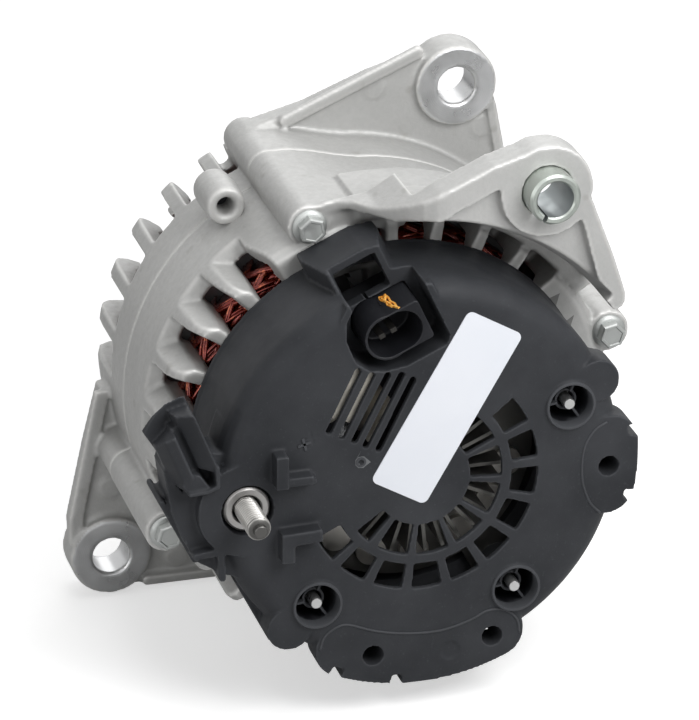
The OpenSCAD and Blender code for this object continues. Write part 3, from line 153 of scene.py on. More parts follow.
class Mat:
    """A Principled material with helpers that add nodes."""

    def __init__(self, name, color, rough, metal=0.0, coat=0.0, spec=None):
        self.material = bpy.data.materials.new(name)
        self.material.use_nodes = True
        self.tree = self.material.node_tree
        self.shader = self.tree.nodes["Principled BSDF"]
        self.set("Base Color", (*color, 1))
        self.set("Roughness", rough)
        self.set("Metallic", metal)
        self.set("Coat Weight", coat)
        if spec is not None:
            self.set("Specular IOR Level", spec)
        self.place = self.new("ShaderNodeTexCoord").outputs["Object"]
        self.normal = None

    def set(self, key, value):
        self.shader.inputs[key].default_value = value

    def fill(self, socket, value):
        """Links an output to a socket, or sets a plain value there."""
        if hasattr(value, "is_output"):
            self.tree.links.new(value, socket)
        else:
            socket.default_value = value

    def new(self, kind, **inputs):
        """A node with its inputs filled; _ stands for a space in their names."""
        node = self.tree.nodes.new(kind)
        for key, value in inputs.items():
            self.fill(node.inputs[key.replace("_", " ")], value)
        return node

    def compute(self, operation, a, b=None):
        node = self.tree.nodes.new("ShaderNodeMath")
        node.operation = operation
        self.fill(node.inputs[0], a)
        if b is not None:
            self.fill(node.inputs[1], b)
        return node.outputs[0]

    def noise(self, scale, detail=3.0, rough=0.55):
        node = self.new("ShaderNodeTexNoise", Vector=self.place, Scale=scale, Detail=detail, Roughness=rough)
        return node.outputs[0]

    def ramp(self, value, low, high, to_low=0.0, to_high=1.0):
        node = self.new("ShaderNodeMapRange", Value=value, From_Min=low, From_Max=high,
                        To_Min=to_low, To_Max=to_high)
        return node.outputs[0]

    def mix(self, factor, a, b):
        """Colour a where factor is 0 and b where it is 1."""
        node = self.tree.nodes.new("ShaderNodeMix")
        node.data_type = "RGBA"
        self.fill(node.inputs[0], factor)
        for socket, color in ((node.inputs[6], a), (node.inputs[7], b)):
            self.fill(socket, (*color, 1) if isinstance(color, tuple) else color)
        return node.outputs[2]

    def base(self, color):
        self.fill(self.shader.inputs["Base Color"], color)

    def roughness(self, value):
        self.fill(self.shader.inputs["Roughness"], value)

    def bump(self, height, strength, distance):
        """Adds relief to the relief set before; distance, in metres, is how high a height of 1 stands."""
        node = self.new("ShaderNodeBump", Strength=strength, Distance=distance, Height=height)
        if self.normal:
            self.fill(node.inputs["Normal"], self.normal)
        self.normal = node.outputs["Normal"]
        self.fill(self.shader.inputs["Normal"], self.normal)

    def edges(self, low, high):
        """0 in hollows and on flats, 1 on outer edges; needs a dense mesh."""
        return self.ramp(self.new("ShaderNodeNewGeometry").outputs["Pointiness"], low, high)

    def axis_radius(self, centre):
        """Distance in metres from the line through centre along the row's Y axis."""
        place = self.new("ShaderNodeSeparateXYZ", Vector=self.place).outputs
        flat = self.new("ShaderNodeCombineXYZ", X=place[0], Z=place[2]).outputs[0]
        node = self.tree.nodes.new("ShaderNodeVectorMath")
        node.operation = "DISTANCE"
        self.fill(node.inputs[0], flat)
        self.fill(node.inputs[1], (centre[0] / 1000, 0, centre[1] / 1000))
        return node.outputs["Value"]

    def wave(self, value, count):
        """Sine of a value in metres, with count waves a metre."""
        return self.compute("SINE", self.compute("MULTIPLY", value, count * 2 * pi))


def cast(name, color, bright):
    """Sand-cast aluminium: grey patches, fine grain, rubbed edges and a few dark pores."""
    m = Mat(name, color, 0.5, metal=0.35, spec=0.6)
    c = m.mix(m.ramp(m.noise(22, 4), 0.35, 0.65), shade(color, 0.86), color)
    grain = m.noise(420, 5, 0.7)
    c = m.mix(m.ramp(grain, 0.3, 0.75, 0.0, 0.35), c, shade(color, 0.72))
    c = m.mix(m.edges(0.505, 0.56), c, bright)
    pores = m.ramp(m.noise(130, 2, 0.4), 0.69, 0.76, 0, 0.4)
    m.base(m.mix(pores, c, (0.30, 0.29, 0.27)))
    m.roughness(m.ramp(grain, 0.3, 0.7, 0.42, 0.6))
    m.bump(m.noise(90, 2), 0.14, 0.0012)
    m.bump(m.noise(650, 4, 0.65), 0.32, 0.00035)
    return m.material


def turned(name, color, rough, centre=(0, 0), count=2600, metal=0.9):
    """Metal with the rings that a lathe leaves round centre."""
    m = Mat(name, color, rough, metal=metal)
    rings = m.wave(m.axis_radius(centre), count)
    stain = m.noise(160, 3)
    m.base(m.mix(m.ramp(stain, 0.3, 0.7), shade(color, 0.88), color))
    m.roughness(m.ramp(stain, 0.3, 0.7, rough * 0.85, rough * 1.25))
    m.bump(rings, 0.10, 0.00008)
    return m.material


def plastic(name, color, rough, grain=0.3, edge=0.5, spec=0.5):
    """Moulded plastic with dust and worn edges."""
    m = Mat(name, color, rough, spec=spec)
    c = m.mix(m.ramp(m.noise(34, 4), 0.35, 0.7), color, shade(color, 1.35, 0.008))
    dust = m.ramp(m.noise(900, 2, 0.6), 0.62, 0.75, 0, 0.25)
    c = m.mix(dust, c, shade(color, 2.0, 0.02))
    worn = m.ramp(m.edges(0.515, 0.57), 0, 1, 0, edge)
    m.base(m.mix(worn, c, shade(color, 2.4, 0.03)))
    m.roughness(m.ramp(m.noise(60, 4, 0.6), 0.3, 0.7, rough * 0.85, min(1, rough * 1.2)))
    m.bump(m.noise(1500, 3, 0.6), grain, 0.00012)
    return m.material


def metal(name, color, rough):
    m = Mat(name, color, rough, metal=0.92)
    m.base(m.mix(m.ramp(m.noise(120, 4), 0.3, 0.7), shade(color, 0.85), color))
    m.roughness(m.ramp(m.noise(240, 4), 0.3, 0.7, rough * 0.8, rough * 1.3))
    m.bump(m.noise(900, 3, 0.6), 0.12, 0.0001)
    return m.material


def enamel(name, color, painted_glint):
    """Lacquered copper wire, with spots of painted highlight in a brighter colour."""
    m = Mat(name, color, 0.2, metal=0.6, coat=0.8)
    m.set("Coat Roughness", 0.12)
    c = m.mix(m.ramp(m.noise(70, 3), 0.35, 0.65), shade(color, 0.45), color)
    # Painted highlight: bright spots mixed into the wire's colour
    m.base(m.mix(m.ramp(m.noise(420, 2), 0.56, 0.66, 0, 0.85), c, painted_glint))
    m.bump(m.noise(500, 3), 0.15, 0.0002)
    return m.material


def laminated(name, color):
    """The edges of stacked steel sheets."""
    m = Mat(name, color, 0.5, metal=0.7)
    along = m.new("ShaderNodeSeparateXYZ", Vector=m.place).outputs[1]
    sheets = m.wave(along, 1500)
    m.base(m.mix(m.ramp(sheets, -1, 1), shade(color, 0.6), color))
    m.roughness(m.ramp(m.noise(200, 3), 0.3, 0.7, 0.4, 0.65))
    m.bump(sheets, 0.4, 0.0001)
    return m.material


def thread_steel(name, color, centre, root_r, crest_r):
    """Plated steel, with painted shade that darkens the roots of its thread."""
    m = Mat(name, color, 0.36, metal=0.85)
    radius = m.axis_radius(centre)
    stain = m.noise(260, 4)
    c = m.mix(m.ramp(stain, 0.3, 0.7), shade(color, 0.8), color)
    # Painted shade: darker towards the roots of the thread
    m.base(m.mix(m.ramp(radius, root_r / 1000, crest_r / 1000), shade(color, 0.22), c))
    m.roughness(m.ramp(stain, 0.3, 0.7, 0.3, 0.5))
    m.bump(m.noise(900, 3), 0.1, 0.0001)
    return m.material


def thin_paint(name, color, thin, thick):
    m = Mat(name, color, 0.5, spec=0.3)
    m.base(m.mix(m.ramp(m.noise(700, 4, 0.6), 0.42, 0.6), thin, thick))
    m.bump(m.noise(900, 3), 0.2, 0.0002)
    return m.material


def paper(name, color, dark, light):
    m = Mat(name, color, 0.45, coat=0.1)
    m.base(m.mix(m.ramp(m.noise(30, 3), 0.3, 0.7), dark, light))
    m.bump(m.noise(300, 2), 0.05, 0.0001)
    return m.material


MACHINED = (0.60, 0.605, 0.61)
M = {
    "cast": cast("cast_aluminium", (0.50, 0.50, 0.49), (0.66, 0.655, 0.64)),
    # A darker copy of the cast aluminium, as painted shade for the rear bracket's inside
    "cast_shade": cast("cast_aluminium_painted_shade", (0.22, 0.22, 0.215), (0.34, 0.335, 0.33)),
    "turned": turned("turned_aluminium", (0.66, 0.665, 0.66), 0.32, metal=0.8),
    "lug_low": turned("machined_lug_lower", MACHINED, 0.30, LUG_LOW, 1500),
    "lug_high": turned("machined_lug_upper", MACHINED, 0.30, LUG_HIGH, 1500),
    "cover": plastic("black_plastic", (0.026, 0.0275, 0.031), 0.52, spec=0.14),
    "deep": plastic("deep_black_plastic", (0.010, 0.0105, 0.013), 0.4, 0.15, 0.3, 0.2),
    "cream": plastic("cream_plastic", (0.62, 0.52, 0.34), 0.5),
    "resin": plastic("resin_red", (0.28, 0.06, 0.04), 0.45),
    "scuff": plastic("scuffed_plastic", (0.11, 0.115, 0.12), 0.6),
    "zinc": metal("zinc_steel", (0.58, 0.585, 0.58), 0.32),
    "bush": metal("bush_steel", (0.52, 0.56, 0.52), 0.34),
    # A darker copy of the bush steel, as painted shade for the inside of its bore
    "bore": metal("bush_bore_painted_shade", (0.30, 0.325, 0.33), 0.36),
    "bearing": metal("bearing_steel", (0.60, 0.61, 0.63), 0.2),
    "rotor": metal("rotor_steel", (0.24, 0.245, 0.25), 0.45),
    "core": laminated("core_steel", (0.24, 0.24, 0.25)),
    "sheet": metal("sheet_steel", (0.36, 0.365, 0.37), 0.38),
    "pulley": turned("pulley_steel", (0.16, 0.165, 0.175), 0.36, count=900),
    # The second colour is painted highlight on the wire
    "enamel": enamel("copper_enamel", (0.34, 0.026, 0.012), (0.80, 0.20, 0.08)),
    "copper": metal("copper_bare", (0.72, 0.36, 0.20), 0.3),
    "tinned": metal("tinned", (0.62, 0.60, 0.56), 0.35),
    # Dark metal for the rectifier plates: painted shade for their place inside the cover
    "plates": metal("rectifier_plate_painted_shade", (0.15, 0.148, 0.14), 0.45),
    # Near-black metal for the socket's contacts: painted shade for their place deep in the socket
    "pin": metal("plug_contact_painted_shade", (0.05, 0.048, 0.045), 0.6),
    "fin": metal("fin_metal", (0.66, 0.63, 0.56), 0.5),
    "bolt": metal("bolt_steel", (0.47, 0.485, 0.475), 0.5),
    "collar": metal("collar_zinc", (0.44, 0.43, 0.42), 0.42),
    "stud": thread_steel("thread_zinc_root_shade", (0.50, 0.49, 0.47), STUD, 3.35, 3.95),
    "carbon": metal("carbon", (0.07, 0.065, 0.065), 0.6),
    "paint": thin_paint("orange_paint", (0.86, 0.36, 0.03), (0.90, 0.50, 0.12), (0.78, 0.27, 0.02)),
    "label": paper("label_white", (0.76, 0.785, 0.84), (0.74, 0.765, 0.82), (0.78, 0.80, 0.85)),
}
BY_SLOT = {
    "cast_aluminium": "cast", "turned_aluminium": "turned", "black_plastic": "cover",
    "deep_black_plastic": "deep", "cream_plastic": "cream", "resin_red": "resin",
    "label_white": "label", "zinc_steel": "zinc", "bush_steel": "bush",
    "bearing_steel": "bearing", "rotor_steel": "rotor", "core_steel": "core",
    "sheet_steel": "sheet", "pulley_steel": "pulley", "copper_enamel": "enamel",
    "copper_bare": "copper", "tinned": "tinned", "carbon": "carbon",
}
SLOT_OF = {part["node"]: part["material_slot"] for part in frame["record"]["subparts"]}


def dress_nodes():
    """Gives every CAD node the material of its slot; the rectifier plates are darker, as painted shade for
    their place inside the cover.
    """
    for name, ob in nodes.items():
        ob.data.materials.clear()
        plate = name in ("rectifier_negative", "rectifier_positive")
        ob.data.materials.append(M["plates" if plate else BY_SLOT[SLOT_OF[name]]])


# Degrees past which an edge stays crisp: on most pieces, on threads and on CAD nodes
CREASE = 35
THREAD_CREASE = 40
NODE_CREASE = 32


# Meshes
def mesh_of(name, shape, split=False):
    """A mesh from a shape, with its faces turned outward and split into triangles if asked."""
    me = bpy.data.meshes.new(name)
    me.from_pydata([at(*v) for v in shape[0]], [], shape[1])
    bm = bmesh.new()
    bm.from_mesh(me)
    if split:
        bmesh.ops.triangulate(bm, faces=bm.faces)
    bmesh.ops.recalc_face_normals(bm, faces=bm.faces)
    bm.to_mesh(me)
    bm.free()
    return me


def add(name, shapes, mat, crease=None):
    """A piece of the housing, smooth except at edges sharper than crease."""
    me = mesh_of(name, join(shapes))
    me.materials.append(M[mat])
    me.shade_smooth()
    if crease is not None:
        me.set_sharp_from_angle(angle=math.radians(crease))
    ob = bpy.data.objects.new(name, me)
    scene.collection.objects.link(ob)
    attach(ob, "housing")
    return ob


def apply(ob):
    """Turns an object's modifiers into its mesh."""
    graph = bpy.context.evaluated_depsgraph_get()
    me = bpy.data.meshes.new_from_object(ob.evaluated_get(graph))
    old = ob.data
    ob.modifiers.clear()
    ob.data = me
    if old.users == 0:
        bpy.data.meshes.remove(old)


def cut(ob, shape):
    tool = bpy.data.objects.new("cutter", mesh_of("cutter", shape, split=True))
    scene.collection.objects.link(tool)
    modifier = ob.modifiers.new("cut", "BOOLEAN")
    modifier.operation = "DIFFERENCE"
    modifier.solver = "EXACT"
    modifier.object = tool
    apply(ob)
    old = tool.data
    bpy.data.objects.remove(tool)
    bpy.data.meshes.remove(old)


def put_in(ob, shapes):
    """Joins shapes to an object's mesh, not yet merged with it."""
    bm = bmesh.new()
    bm.from_mesh(ob.data)
    for shape in shapes:
        more = mesh_of("more", shape, split=True)
        bm.from_mesh(more)
        bpy.data.meshes.remove(more)
    bm.to_mesh(ob.data)
    bm.free()


def soften(node, voxel, rounds, keep, cuts=(), adds=()):
    """A copy of a CAD node with rounded edges and filled corners, as a casting or moulding has.

    The cuts are taken away first, then the adds are joined. keep is the share of faces kept."""
    source = nodes[node]
    ob = bpy.data.objects.new(node + "_form", source.data.copy())
    scene.collection.objects.link(ob)
    for shape in cuts:
        cut(ob, shape)
    put_in(ob, adds)
    remesh = ob.modifiers.new("remesh", "REMESH")
    remesh.mode = "VOXEL"
    remesh.voxel_size = voxel / 1000
    remesh.adaptivity = 0.0
    smooth = ob.modifiers.new("smooth", "SMOOTH")
    smooth.factor = 0.5
    smooth.iterations = rounds
    ob.modifiers.new("thin", "DECIMATE").ratio = keep
    apply(ob)
    ob.data.shade_smooth()
    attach(ob, source["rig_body"])
    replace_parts(ob, node)
    return ob


def paint(ob, mat, test):
    """Gives a material to the faces whose centre (x, y, z) and normal n pass the test."""
    ob.data.materials.append(M[mat])
    index = len(ob.data.materials) - 1
    for face in ob.data.polygons:
        c, n = face.center * 1000, face.normal
        if test(c.x, c.z, -c.y, (n.x, n.z, -n.y)):
            face.material_index = index


def near(x, y, centre, r):
    return (x - centre[0]) ** 2 + (y - centre[1]) ** 2 < r * r


# Shapes
def join(shapes):
    points, faces = [], []
    for more_points, more_faces in shapes:
        n = len(points)
        points += more_points
        faces += [tuple(i + n for i in face) for face in more_faces]
    return points, faces


def loft(rings):
    """A solid through closed rings of as many points each."""
    n, last = len(rings[0]), len(rings) - 1
    faces = [tuple(range(n - 1, -1, -1)), tuple(last * n + i for i in range(n))]
    for k in range(last):
        for i in range(n):
            j = (i + 1) % n
            faces.append((k * n + i, k * n + j, (k + 1) * n + j, (k + 1) * n + i))
    return [point for ring in rings for point in ring], faces


def stack(rows):
    """A solid through closed outlines, one per (outline, z) row."""
    return loft([[(x, y, z) for x, y in outline] for outline, z in rows])


def prism(outline, z1, z2):
    return stack([(outline, z1), (outline, z2)])


def rib(profile, angle, half):
    """A flat rib at an angle: a (radius, z) outline made half thick to both sides."""
    place = axes_at((0, 0), angle)
    return loft([[(*place(r, w), z) for r, z in profile] for w in (-half, half)])


def sector(r1, r2, a1, a2, z1, z2):
    """A block round the shaft between two radii, two angles and two heights."""
    steps = 24
    arc = [a1 + (a2 - a1) * i / steps for i in range(steps + 1)]
    return prism([polar(r1, a) for a in arc] + [polar(r2, a) for a in reversed(arc)], z1, z2)


def box(x1, x2, y1, y2, z1, z2, place):
    """A block in the axes that place belongs to."""
    return prism([place(x, y) for x, y in ((x1, y1), (x2, y1), (x2, y2), (x1, y2))], z1, z2)


def bar(p, q, half, z1, z2):
    """A straight wall between two points of the drawing, past them by its half thickness."""
    p, q = Vector(p), Vector(q)
    along = (q - p).normalized() * half
    across = Vector((-along.y, along.x))
    return prism([p - along - across, q + along - across, q + along + across, p - along + across], z1, z2)


def circle(centre, r, z, count):
    angles = [2 * pi * i / count for i in range(count)]
    return [(centre[0] + r * cos(a), centre[1] + r * sin(a), z) for a in angles]


def lathe(profile, centre, count):
    """A ring turned from closed (radius, z) points round centre."""
    n = len(profile)
    points, faces = [], []
    for i in range(count):
        a = 2 * pi * i / count
        points += [(centre[0] + r * cos(a), centre[1] + r * sin(a), z) for r, z in profile]
        j = (i + 1) % count
        faces += [(i * n + k, j * n + k, j * n + (k + 1) % n, i * n + (k + 1) % n) for k in range(n)]
    return points, faces


def threaded(centre, z1, z2, r, pitch, tip, count, steps):
    """A rod with a helical thread from z1 to z2, then the turned (radius, z) steps of its tip.

    count points go round the rod, and steps rings make one turn of the thread."""
    depth = 0.54 * pitch
    rows = int((z2 - z1) / pitch * steps)
    rings = []
    for k in range(rows + 1):
        z = z1 + (z2 - z1) * k / rows
        ring = []
        for i in range(count):
            phase = (z / pitch + i / count) % 1
            sunk = min(max(abs(phase - 0.5) * 2.6 - 0.3, 0), 1)
            x, y = polar(r - depth * sunk, 360 * i / count)
            ring.append((centre[0] + x, centre[1] + y, z))
        rings.append(ring)
    return loft(rings + [circle(centre, radius, z, count) for radius, z in tip])


def tube(path, r, sides):
    """A round wire along points in drawing axes."""
    rings = []
    for k, point in enumerate(path):
        before, after = path[max(k - 1, 0)], path[min(k + 1, len(path) - 1)]
        along = (Vector(after) - Vector(before)).normalized()
        aside = along.cross(Vector((0, 0, 1)) if abs(along.z) < 0.9 else Vector((1, 0, 0))).normalized()
        third = along.cross(aside)
        turns = [2 * pi * i / sides for i in range(sides)]
        rings.append([tuple(Vector(point) + aside * (r * cos(q)) + third * (r * sin(q))) for q in turns])
    return loft(rings)


def hexagon(centre, turn, rows):
    """A hexagonal head from (corner radius, z) rows."""
    place = axes_at(centre, turn)
    return loft([[(*place(*polar(r, 60 * i)), z) for i in range(6)] for r, z in rows])


def smooth_path(points, steps=4):
    """A rounder path through the points."""
    path = []
    last = len(points) - 1
    for k in range(last):
        a, b, c, d = (Vector(points[max(0, min(last, k + j))]) for j in (-1, 0, 1, 2))
        for i in range(steps):
            t = i / steps
            square = (2 * a - 5 * b + 4 * c - d) * t ** 2
            cube = (3 * b - a - 3 * c + d) * t ** 3
            path.append(tuple(0.5 * (2 * b + (c - a) * t + square + cube)))
    return path + [points[-1]]


# Front bracket: fins between two of its lugs, and the boss of the tube
FIN_COUNT = 6
FIN_START = 182.6
FIN_PITCH = 12.45
FIN_HALF = 2.7
FIN_TOP = 46.4
FIN = [(66, 16.3), (72, 16.1), (75.6, 18.4), (77.3, 22.8), (BRACKET_R, 29), (BRACKET_R, FIN_TOP),
       (71.4, FIN_TOP), (70.4, 36), (69.8, 27), (66, 21.4)]
TUBE_BOSS = [(3.3, 66), (3.3, 77.4), (4.4, 78.2), (6.2, 78), (6.6, 77), (7.0, 66), (6.7, 59.4),
             (5.6, 58.2), (3.3, 58.2)]
LUG_FACE_R = 13.4
LUG_BORE_R = 7.4
LUG_FACES = (32.8, 45.7)
CAST_GRID = 0.75
CAST_ROUNDS = 5
CAST_KEEP = 0.45


def bore_wall(lug, r):
    return lambda x, y, z, n: near(x, y, lug, r) and abs(n[2]) < 0.4


def front_bracket():
    behind_fins = sector(68.6, 84, 114.6, 184.6, 12, FIN_TOP - 1)
    beside_tube = sector(BRACKET_R + 0.1, 92, 117.4, 128.4, 44, 58.4)
    fins = [rib(FIN, FIN_START - FIN_PITCH * i, FIN_HALF) for i in range(FIN_COUNT)]
    ob = soften("front_bracket", CAST_GRID, CAST_ROUNDS, CAST_KEEP, cuts=[behind_fins, beside_tube],
                adds=fins + [lathe(TUBE_BOSS, TUBE, 64)])
    for mat, lug in (("lug_low", LUG_LOW), ("lug_high", LUG_HIGH)):
        paint(ob, mat, lambda x, y, z, n: (near(x, y, lug, LUG_FACE_R) and abs(n[2]) > 0.8
                                           and not LUG_FACES[0] <= z <= LUG_FACES[1]))
    for mat, lug in (("lug_low", LUG_LOW), ("lug_high", LUG_HIGH)):
        paint(ob, mat, bore_wall(lug, LUG_BORE_R))


# Rear bracket: its ribs lean, so each gap and rib is given by (radius, angle) outlines at heights
REAR_COUNT = 5
REAR_PITCH = 12.55
GAP_R = (60, 79)
REAR_RIB = [([(77.95, 134.2), (72.4, 129.8), (65.5, 130.0), (65.5, 136.5), (77.95, 138.0)], 88),
            ([(77.95, 133.6), (72.4, 129.8), (65.5, 130.0), (65.5, 135.2), (77.95, 136.4)], 104),
            ([(77.95, 133.2), (72.4, 130.0), (65.5, 130.1), (65.5, 134.4), (77.95, 135.4)], 110),
            ([(77.1, 132.6), (72.4, 130.1), (65.5, 130.2), (65.5, 134.1), (77.1, 134.7)], 113.6),
            ([(75, 131.6), (72.4, 130.3), (65.5, 130.4), (65.5, 134.0), (75, 134.2)], RIM_Z - 0.05)]
BUSH_HOLE_R = 9.4
# Radius within which the rear bracket's faces get painted shade
SHADE_INSIDE_R = 67


def leaning(rows, turn):
    return stack([([polar(r, a + turn) for r, a in outline], z) for outline, z in rows])


def gap(low_start, high_start, stop, low, turn):
    """A gap between ribs, from the height low to above the rim; its start leans, its stop doesn't."""
    r1, r2 = GAP_R
    ends = ((low_start, low), (high_start, RIM_Z + 2))
    return leaning([([(r1, a), (r2, a), (r2, stop), (r1, stop)], z) for a, z in ends], turn)


def rear_bracket():
    wall = sector(69.2, 72.4, 117, 194, 87.4, 108.6)
    turns = [REAR_PITCH * i for i in range(REAR_COUNT)]
    gaps = [gap(low_start=125.4, high_start=120.9, stop=130, low=94, turn=0)]
    gaps += [gap(low_start=137.8, high_start=133.7, stop=141.6, low=92, turn=turn) for turn in turns]
    ribs = [leaning(REAR_RIB, turn) for turn in turns]
    ob = soften("rear_bracket", CAST_GRID, CAST_ROUNDS, CAST_KEEP, cuts=[wall] + gaps, adds=ribs)
    paint(ob, "lug_high", bore_wall(LUG_HIGH, BUSH_HOLE_R))
    # Painted shade: faces near the shaft get the darker copy of the cast aluminium
    paint(ob, "cast_shade", lambda x, y, z, n: near(x, y, (0, 0), SHADE_INSIDE_R))


# Coil ends: a dark core with single wires that cross over it
COIL_IN = 54.4
COIL_OUT = 67.6
WIRE_R = 0.56
WIRE_POINTS = 22


def wire_path(start, turn, base, height, drift, direction):
    """One wire's arch from the outside of a coil end to its inside; angles in radians."""
    path = []
    outer, inner = COIL_OUT - 0.9, COIL_IN + 1.5
    for q in range(WIRE_POINTS + 1):
        t = q / WIRE_POINTS
        a = start + turn * (t - 0.5)
        inward = t * t * (3 - 2 * t)
        r = outer - (outer - inner) * inward + drift * sin(pi * t)
        bulge = 0.9 * sin(pi * min(1, 2 * t)) if t < 0.5 else 0
        r = min(COIL_OUT - 0.55, r + bulge)
        z = base
        if 0 < t < 1:
            z += direction * height * min(1, sin(pi * t) * 1.25) ** 0.6
        path.append((r * cos(a), r * sin(a), z))
    return path


def winding(name, node, z0, z1, count, seed, strands):
    """A coil end from the core's face z0 to z1, with count bundles of strands."""
    rnd = random.Random(seed)
    height = abs(z1 - z0)
    direction = 1 if z1 > z0 else -1
    middle, upper = z0 + direction * height * 0.5, z0 + direction * height * 0.86
    parts = [lathe([(COIL_IN + 2.2, z0), (COIL_OUT - 2.4, z0), (COIL_OUT - 1.7, middle),
                    (COIL_OUT - 4.6, upper), (COIL_IN + 4.2, upper), (COIL_IN + 1.6, middle)], (0, 0), 64)]
    for i in range(count):
        turn = rnd.uniform(0.80, 1.02) * (1 if i % 2 else -1)
        for k in range(strands):
            spread = (k / (strands - 1) - 0.5) * 0.055 + rnd.uniform(-0.006, 0.006)
            drift = rnd.uniform(-0.7, 0.7)
            top = height - 1.0 - rnd.uniform(0, 2.6)
            path = wire_path(2 * pi * i / count + spread, turn, z0, top, drift, direction)
            parts.append(tube(path, WIRE_R, 5))
    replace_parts(add(name, parts, "enamel"), node)


# Rear cover: the cable trough on the block beside the output stud
BLOCK_Z = 145
TROUGH_START = (-68.6, 14)
TROUGH_ALONG = (-0.371, 0.928)
# The block's top is cleared above BLOCK_Z and built anew inside this outline
CLEAR = [(-68, 6.2), (-68.4, 14), (-76.6, 35.4), (-80.6, 36.6), (-84.6, 33.6), (-88.6, 29.2),
         (-91.6, 23.4), (-79, 3.2), (-72, 4.3)]
STEP = [(-76.8, 11.8), (-74.3, 10.9), (-71.2, 6.3), (-72, 4.8), (-78.4, 4.5), (-80.4, 8.2)]
LIP = [(-68.2, 14), (-68, 6.2), (-72, 4.6), (-78.6, 4.2), (-78.2, 5.5), (-72.2, 5.9), (-69.4, 7.1),
       (-69.8, 13.6)]
LANDING = [(-69, 13), (-69, 6.6), (-72, 5), (-76, 6), (-76, 12)]
# The cover's shoulder as (radius, z) points
SHOULDER = [(60.6, 154.04), (63.7, 153.4), (66.3, 151.7), (67.95, 149.1), (68.65, 146), (69.05, 127)]
# Shields beside the output stud: two ends, half thickness and top
SHIELDS = [((-48.5, 6.9), (-48.5, 14.4), 2.0, 160), ((-48.5, 6.6), (-39.4, 6.6), 1.5, 159.2),
           ((-46.4, -13.6), (-37.2, -13.2), 2.2, 159.8), ((-46.4, -13.6), (-46.4, -19.6), 2.2, 159.8)]
WELL_R = 7.45
# Height below which the walls of the stud wells get painted shade
WELL_SHADE_Z = 149.5
GATE = (-20.9, 8.8)
GATE_R = 2.5
BUSH_BORE_R = 6.9


def trough(t, n):
    """Drawing place of a point t along the cable trough and n across it."""
    dx, dy = TROUGH_ALONG
    return TROUGH_START[0] + dx * t - dy * n, TROUGH_START[1] + dy * t + dx * n


def trough_wall(section):
    """A wall of the trough from (across, z, start, stop) corners; start and stop run along it."""
    rings = [[(*trough(row[k], row[0]), row[1]) for row in section] for k in (2, 3)]
    return loft(rings)


def trough_parts():
    right = trough_wall([(0.1, BLOCK_Z, -3, 19.8), (0.3, 156, -3, 19.8), (1.0, 156, 0.4, 20.6),
                         (6.0, 152.8, 0.9, 21.4), (6.8, 147.8, 0.9, 21.0), (7.0, BLOCK_Z, 0.9, 20.6)])
    left = trough_wall([(7.9, BLOCK_Z, -2, 16.2), (8.6, 156, 0.4, 16.0), (12.4, 154.9, -5, 15.6),
                        (15.6, 149.6, -2, 12.8), (15.6, BLOCK_Z, -2, 12.8)])
    floor = prism([trough(-3, 6), trough(-3, 9), trough(17.0, 9), trough(17.0, 6)], BLOCK_Z, 151.0)
    return [right, left, floor, prism(STEP, BLOCK_Z, 155.1), prism(LIP, BLOCK_Z, 156.2),
            prism(LANDING, BLOCK_Z, 148.2)]


def above_shoulder():
    """The space over the drum's shoulder on the right of the cable trough."""
    rings = []
    for t in (2.4, 6, 10, 14, 18, 22, 26):
        x, y = trough(t, -0.15)
        r, a = math.hypot(x, y), math.degrees(math.atan2(y, x))
        profile = SHOULDER + [(r, SHOULDER[-1][1]), (r, 160), (SHOULDER[0][0], 160)]
        rings.append([(*polar(q, a), z) for q, z in profile])
    return loft(rings)


def rear_cover():
    beside_plug = box(-8.3, 6.9, 8.4, 21.4, 125.5, 139.5, plug)
    ob = soften("rear_cover", voxel=0.5, rounds=3, keep=0.4,
                cuts=[prism(CLEAR, BLOCK_Z + 0.6, 158), beside_plug, above_shoulder()],
                adds=trough_parts() + [bar(p, q, half, COVER_Z - 2, top) for p, q, half, top in SHIELDS])
    soften("connector_shell", voxel=0.35, rounds=2, keep=0.6)
    # Painted shade: the walls low in the stud wells get the deep black plastic
    paint(ob, "deep", lambda x, y, z, n: z < WELL_SHADE_Z and any(near(x, y, w, WELL_R) for w in WELLS))
    paint(ob, "scuff", lambda x, y, z, n: z > COVER_Z - 0.2 and near(x, y, GATE, GATE_R))
    # Painted shade: the bore walls of the lug bush get the darker steel
    paint(nodes["lug_bush"], "bore", lambda x, y, z, n: near(x, y, LUG_HIGH, BUSH_BORE_R) and abs(n[2]) < 0.5)


# Small parts of the cover
WELL_RIM = [(7.3, 150.5), (7.3, 154.9), (7.55, 155.3), (8.1, 155.3), (8.4, 154.9), (8.4, 153.2)]
WELL_HUB = [(3.0, 141), (3.0, 149.0), (3.7, 149.0), (3.7, 141)]
SPOKE_ANGLES = (68, 188, 305)
SPOKE_R = (3.4, 7.5)
SPOKE_Z = (140, 150.4)
SPOKE_HALF = 0.38
PLUS = (-39.8, 17.4)
PLUS_TURN = 15
PLUS_BARS = ((2.2, 0.42), (0.42, 2.2))
MARK_Z = (153.6, 154.35)
GATE_RING = [(1.0, 153.6), (1.0, 154.3), (1.7, 154.3), (1.7, 153.6)]
BEAD_R = 0.42
FLANGE_BEADS = {
    "flange_bead_low": [(-34.4, -57.3), (-32.8, -52.6), (-28.5, -49.6), (-24.3, -49.5), (-15.8, -52.8),
                        (-5.5, -55.1), (6.5, -55.7), (16.8, -53.2), (22.8, -50.5), (28.9, -51.1),
                        (33.0, -55.0), (34.0, -60.0)],
    "flange_bead_right": [(62.6, 12.9), (58.5, 10.5), (55.3, 5.5), (54.3, -1.5), (54.9, -8.8),
                          (57.4, -15.5), (61.0, -19.6)],
}


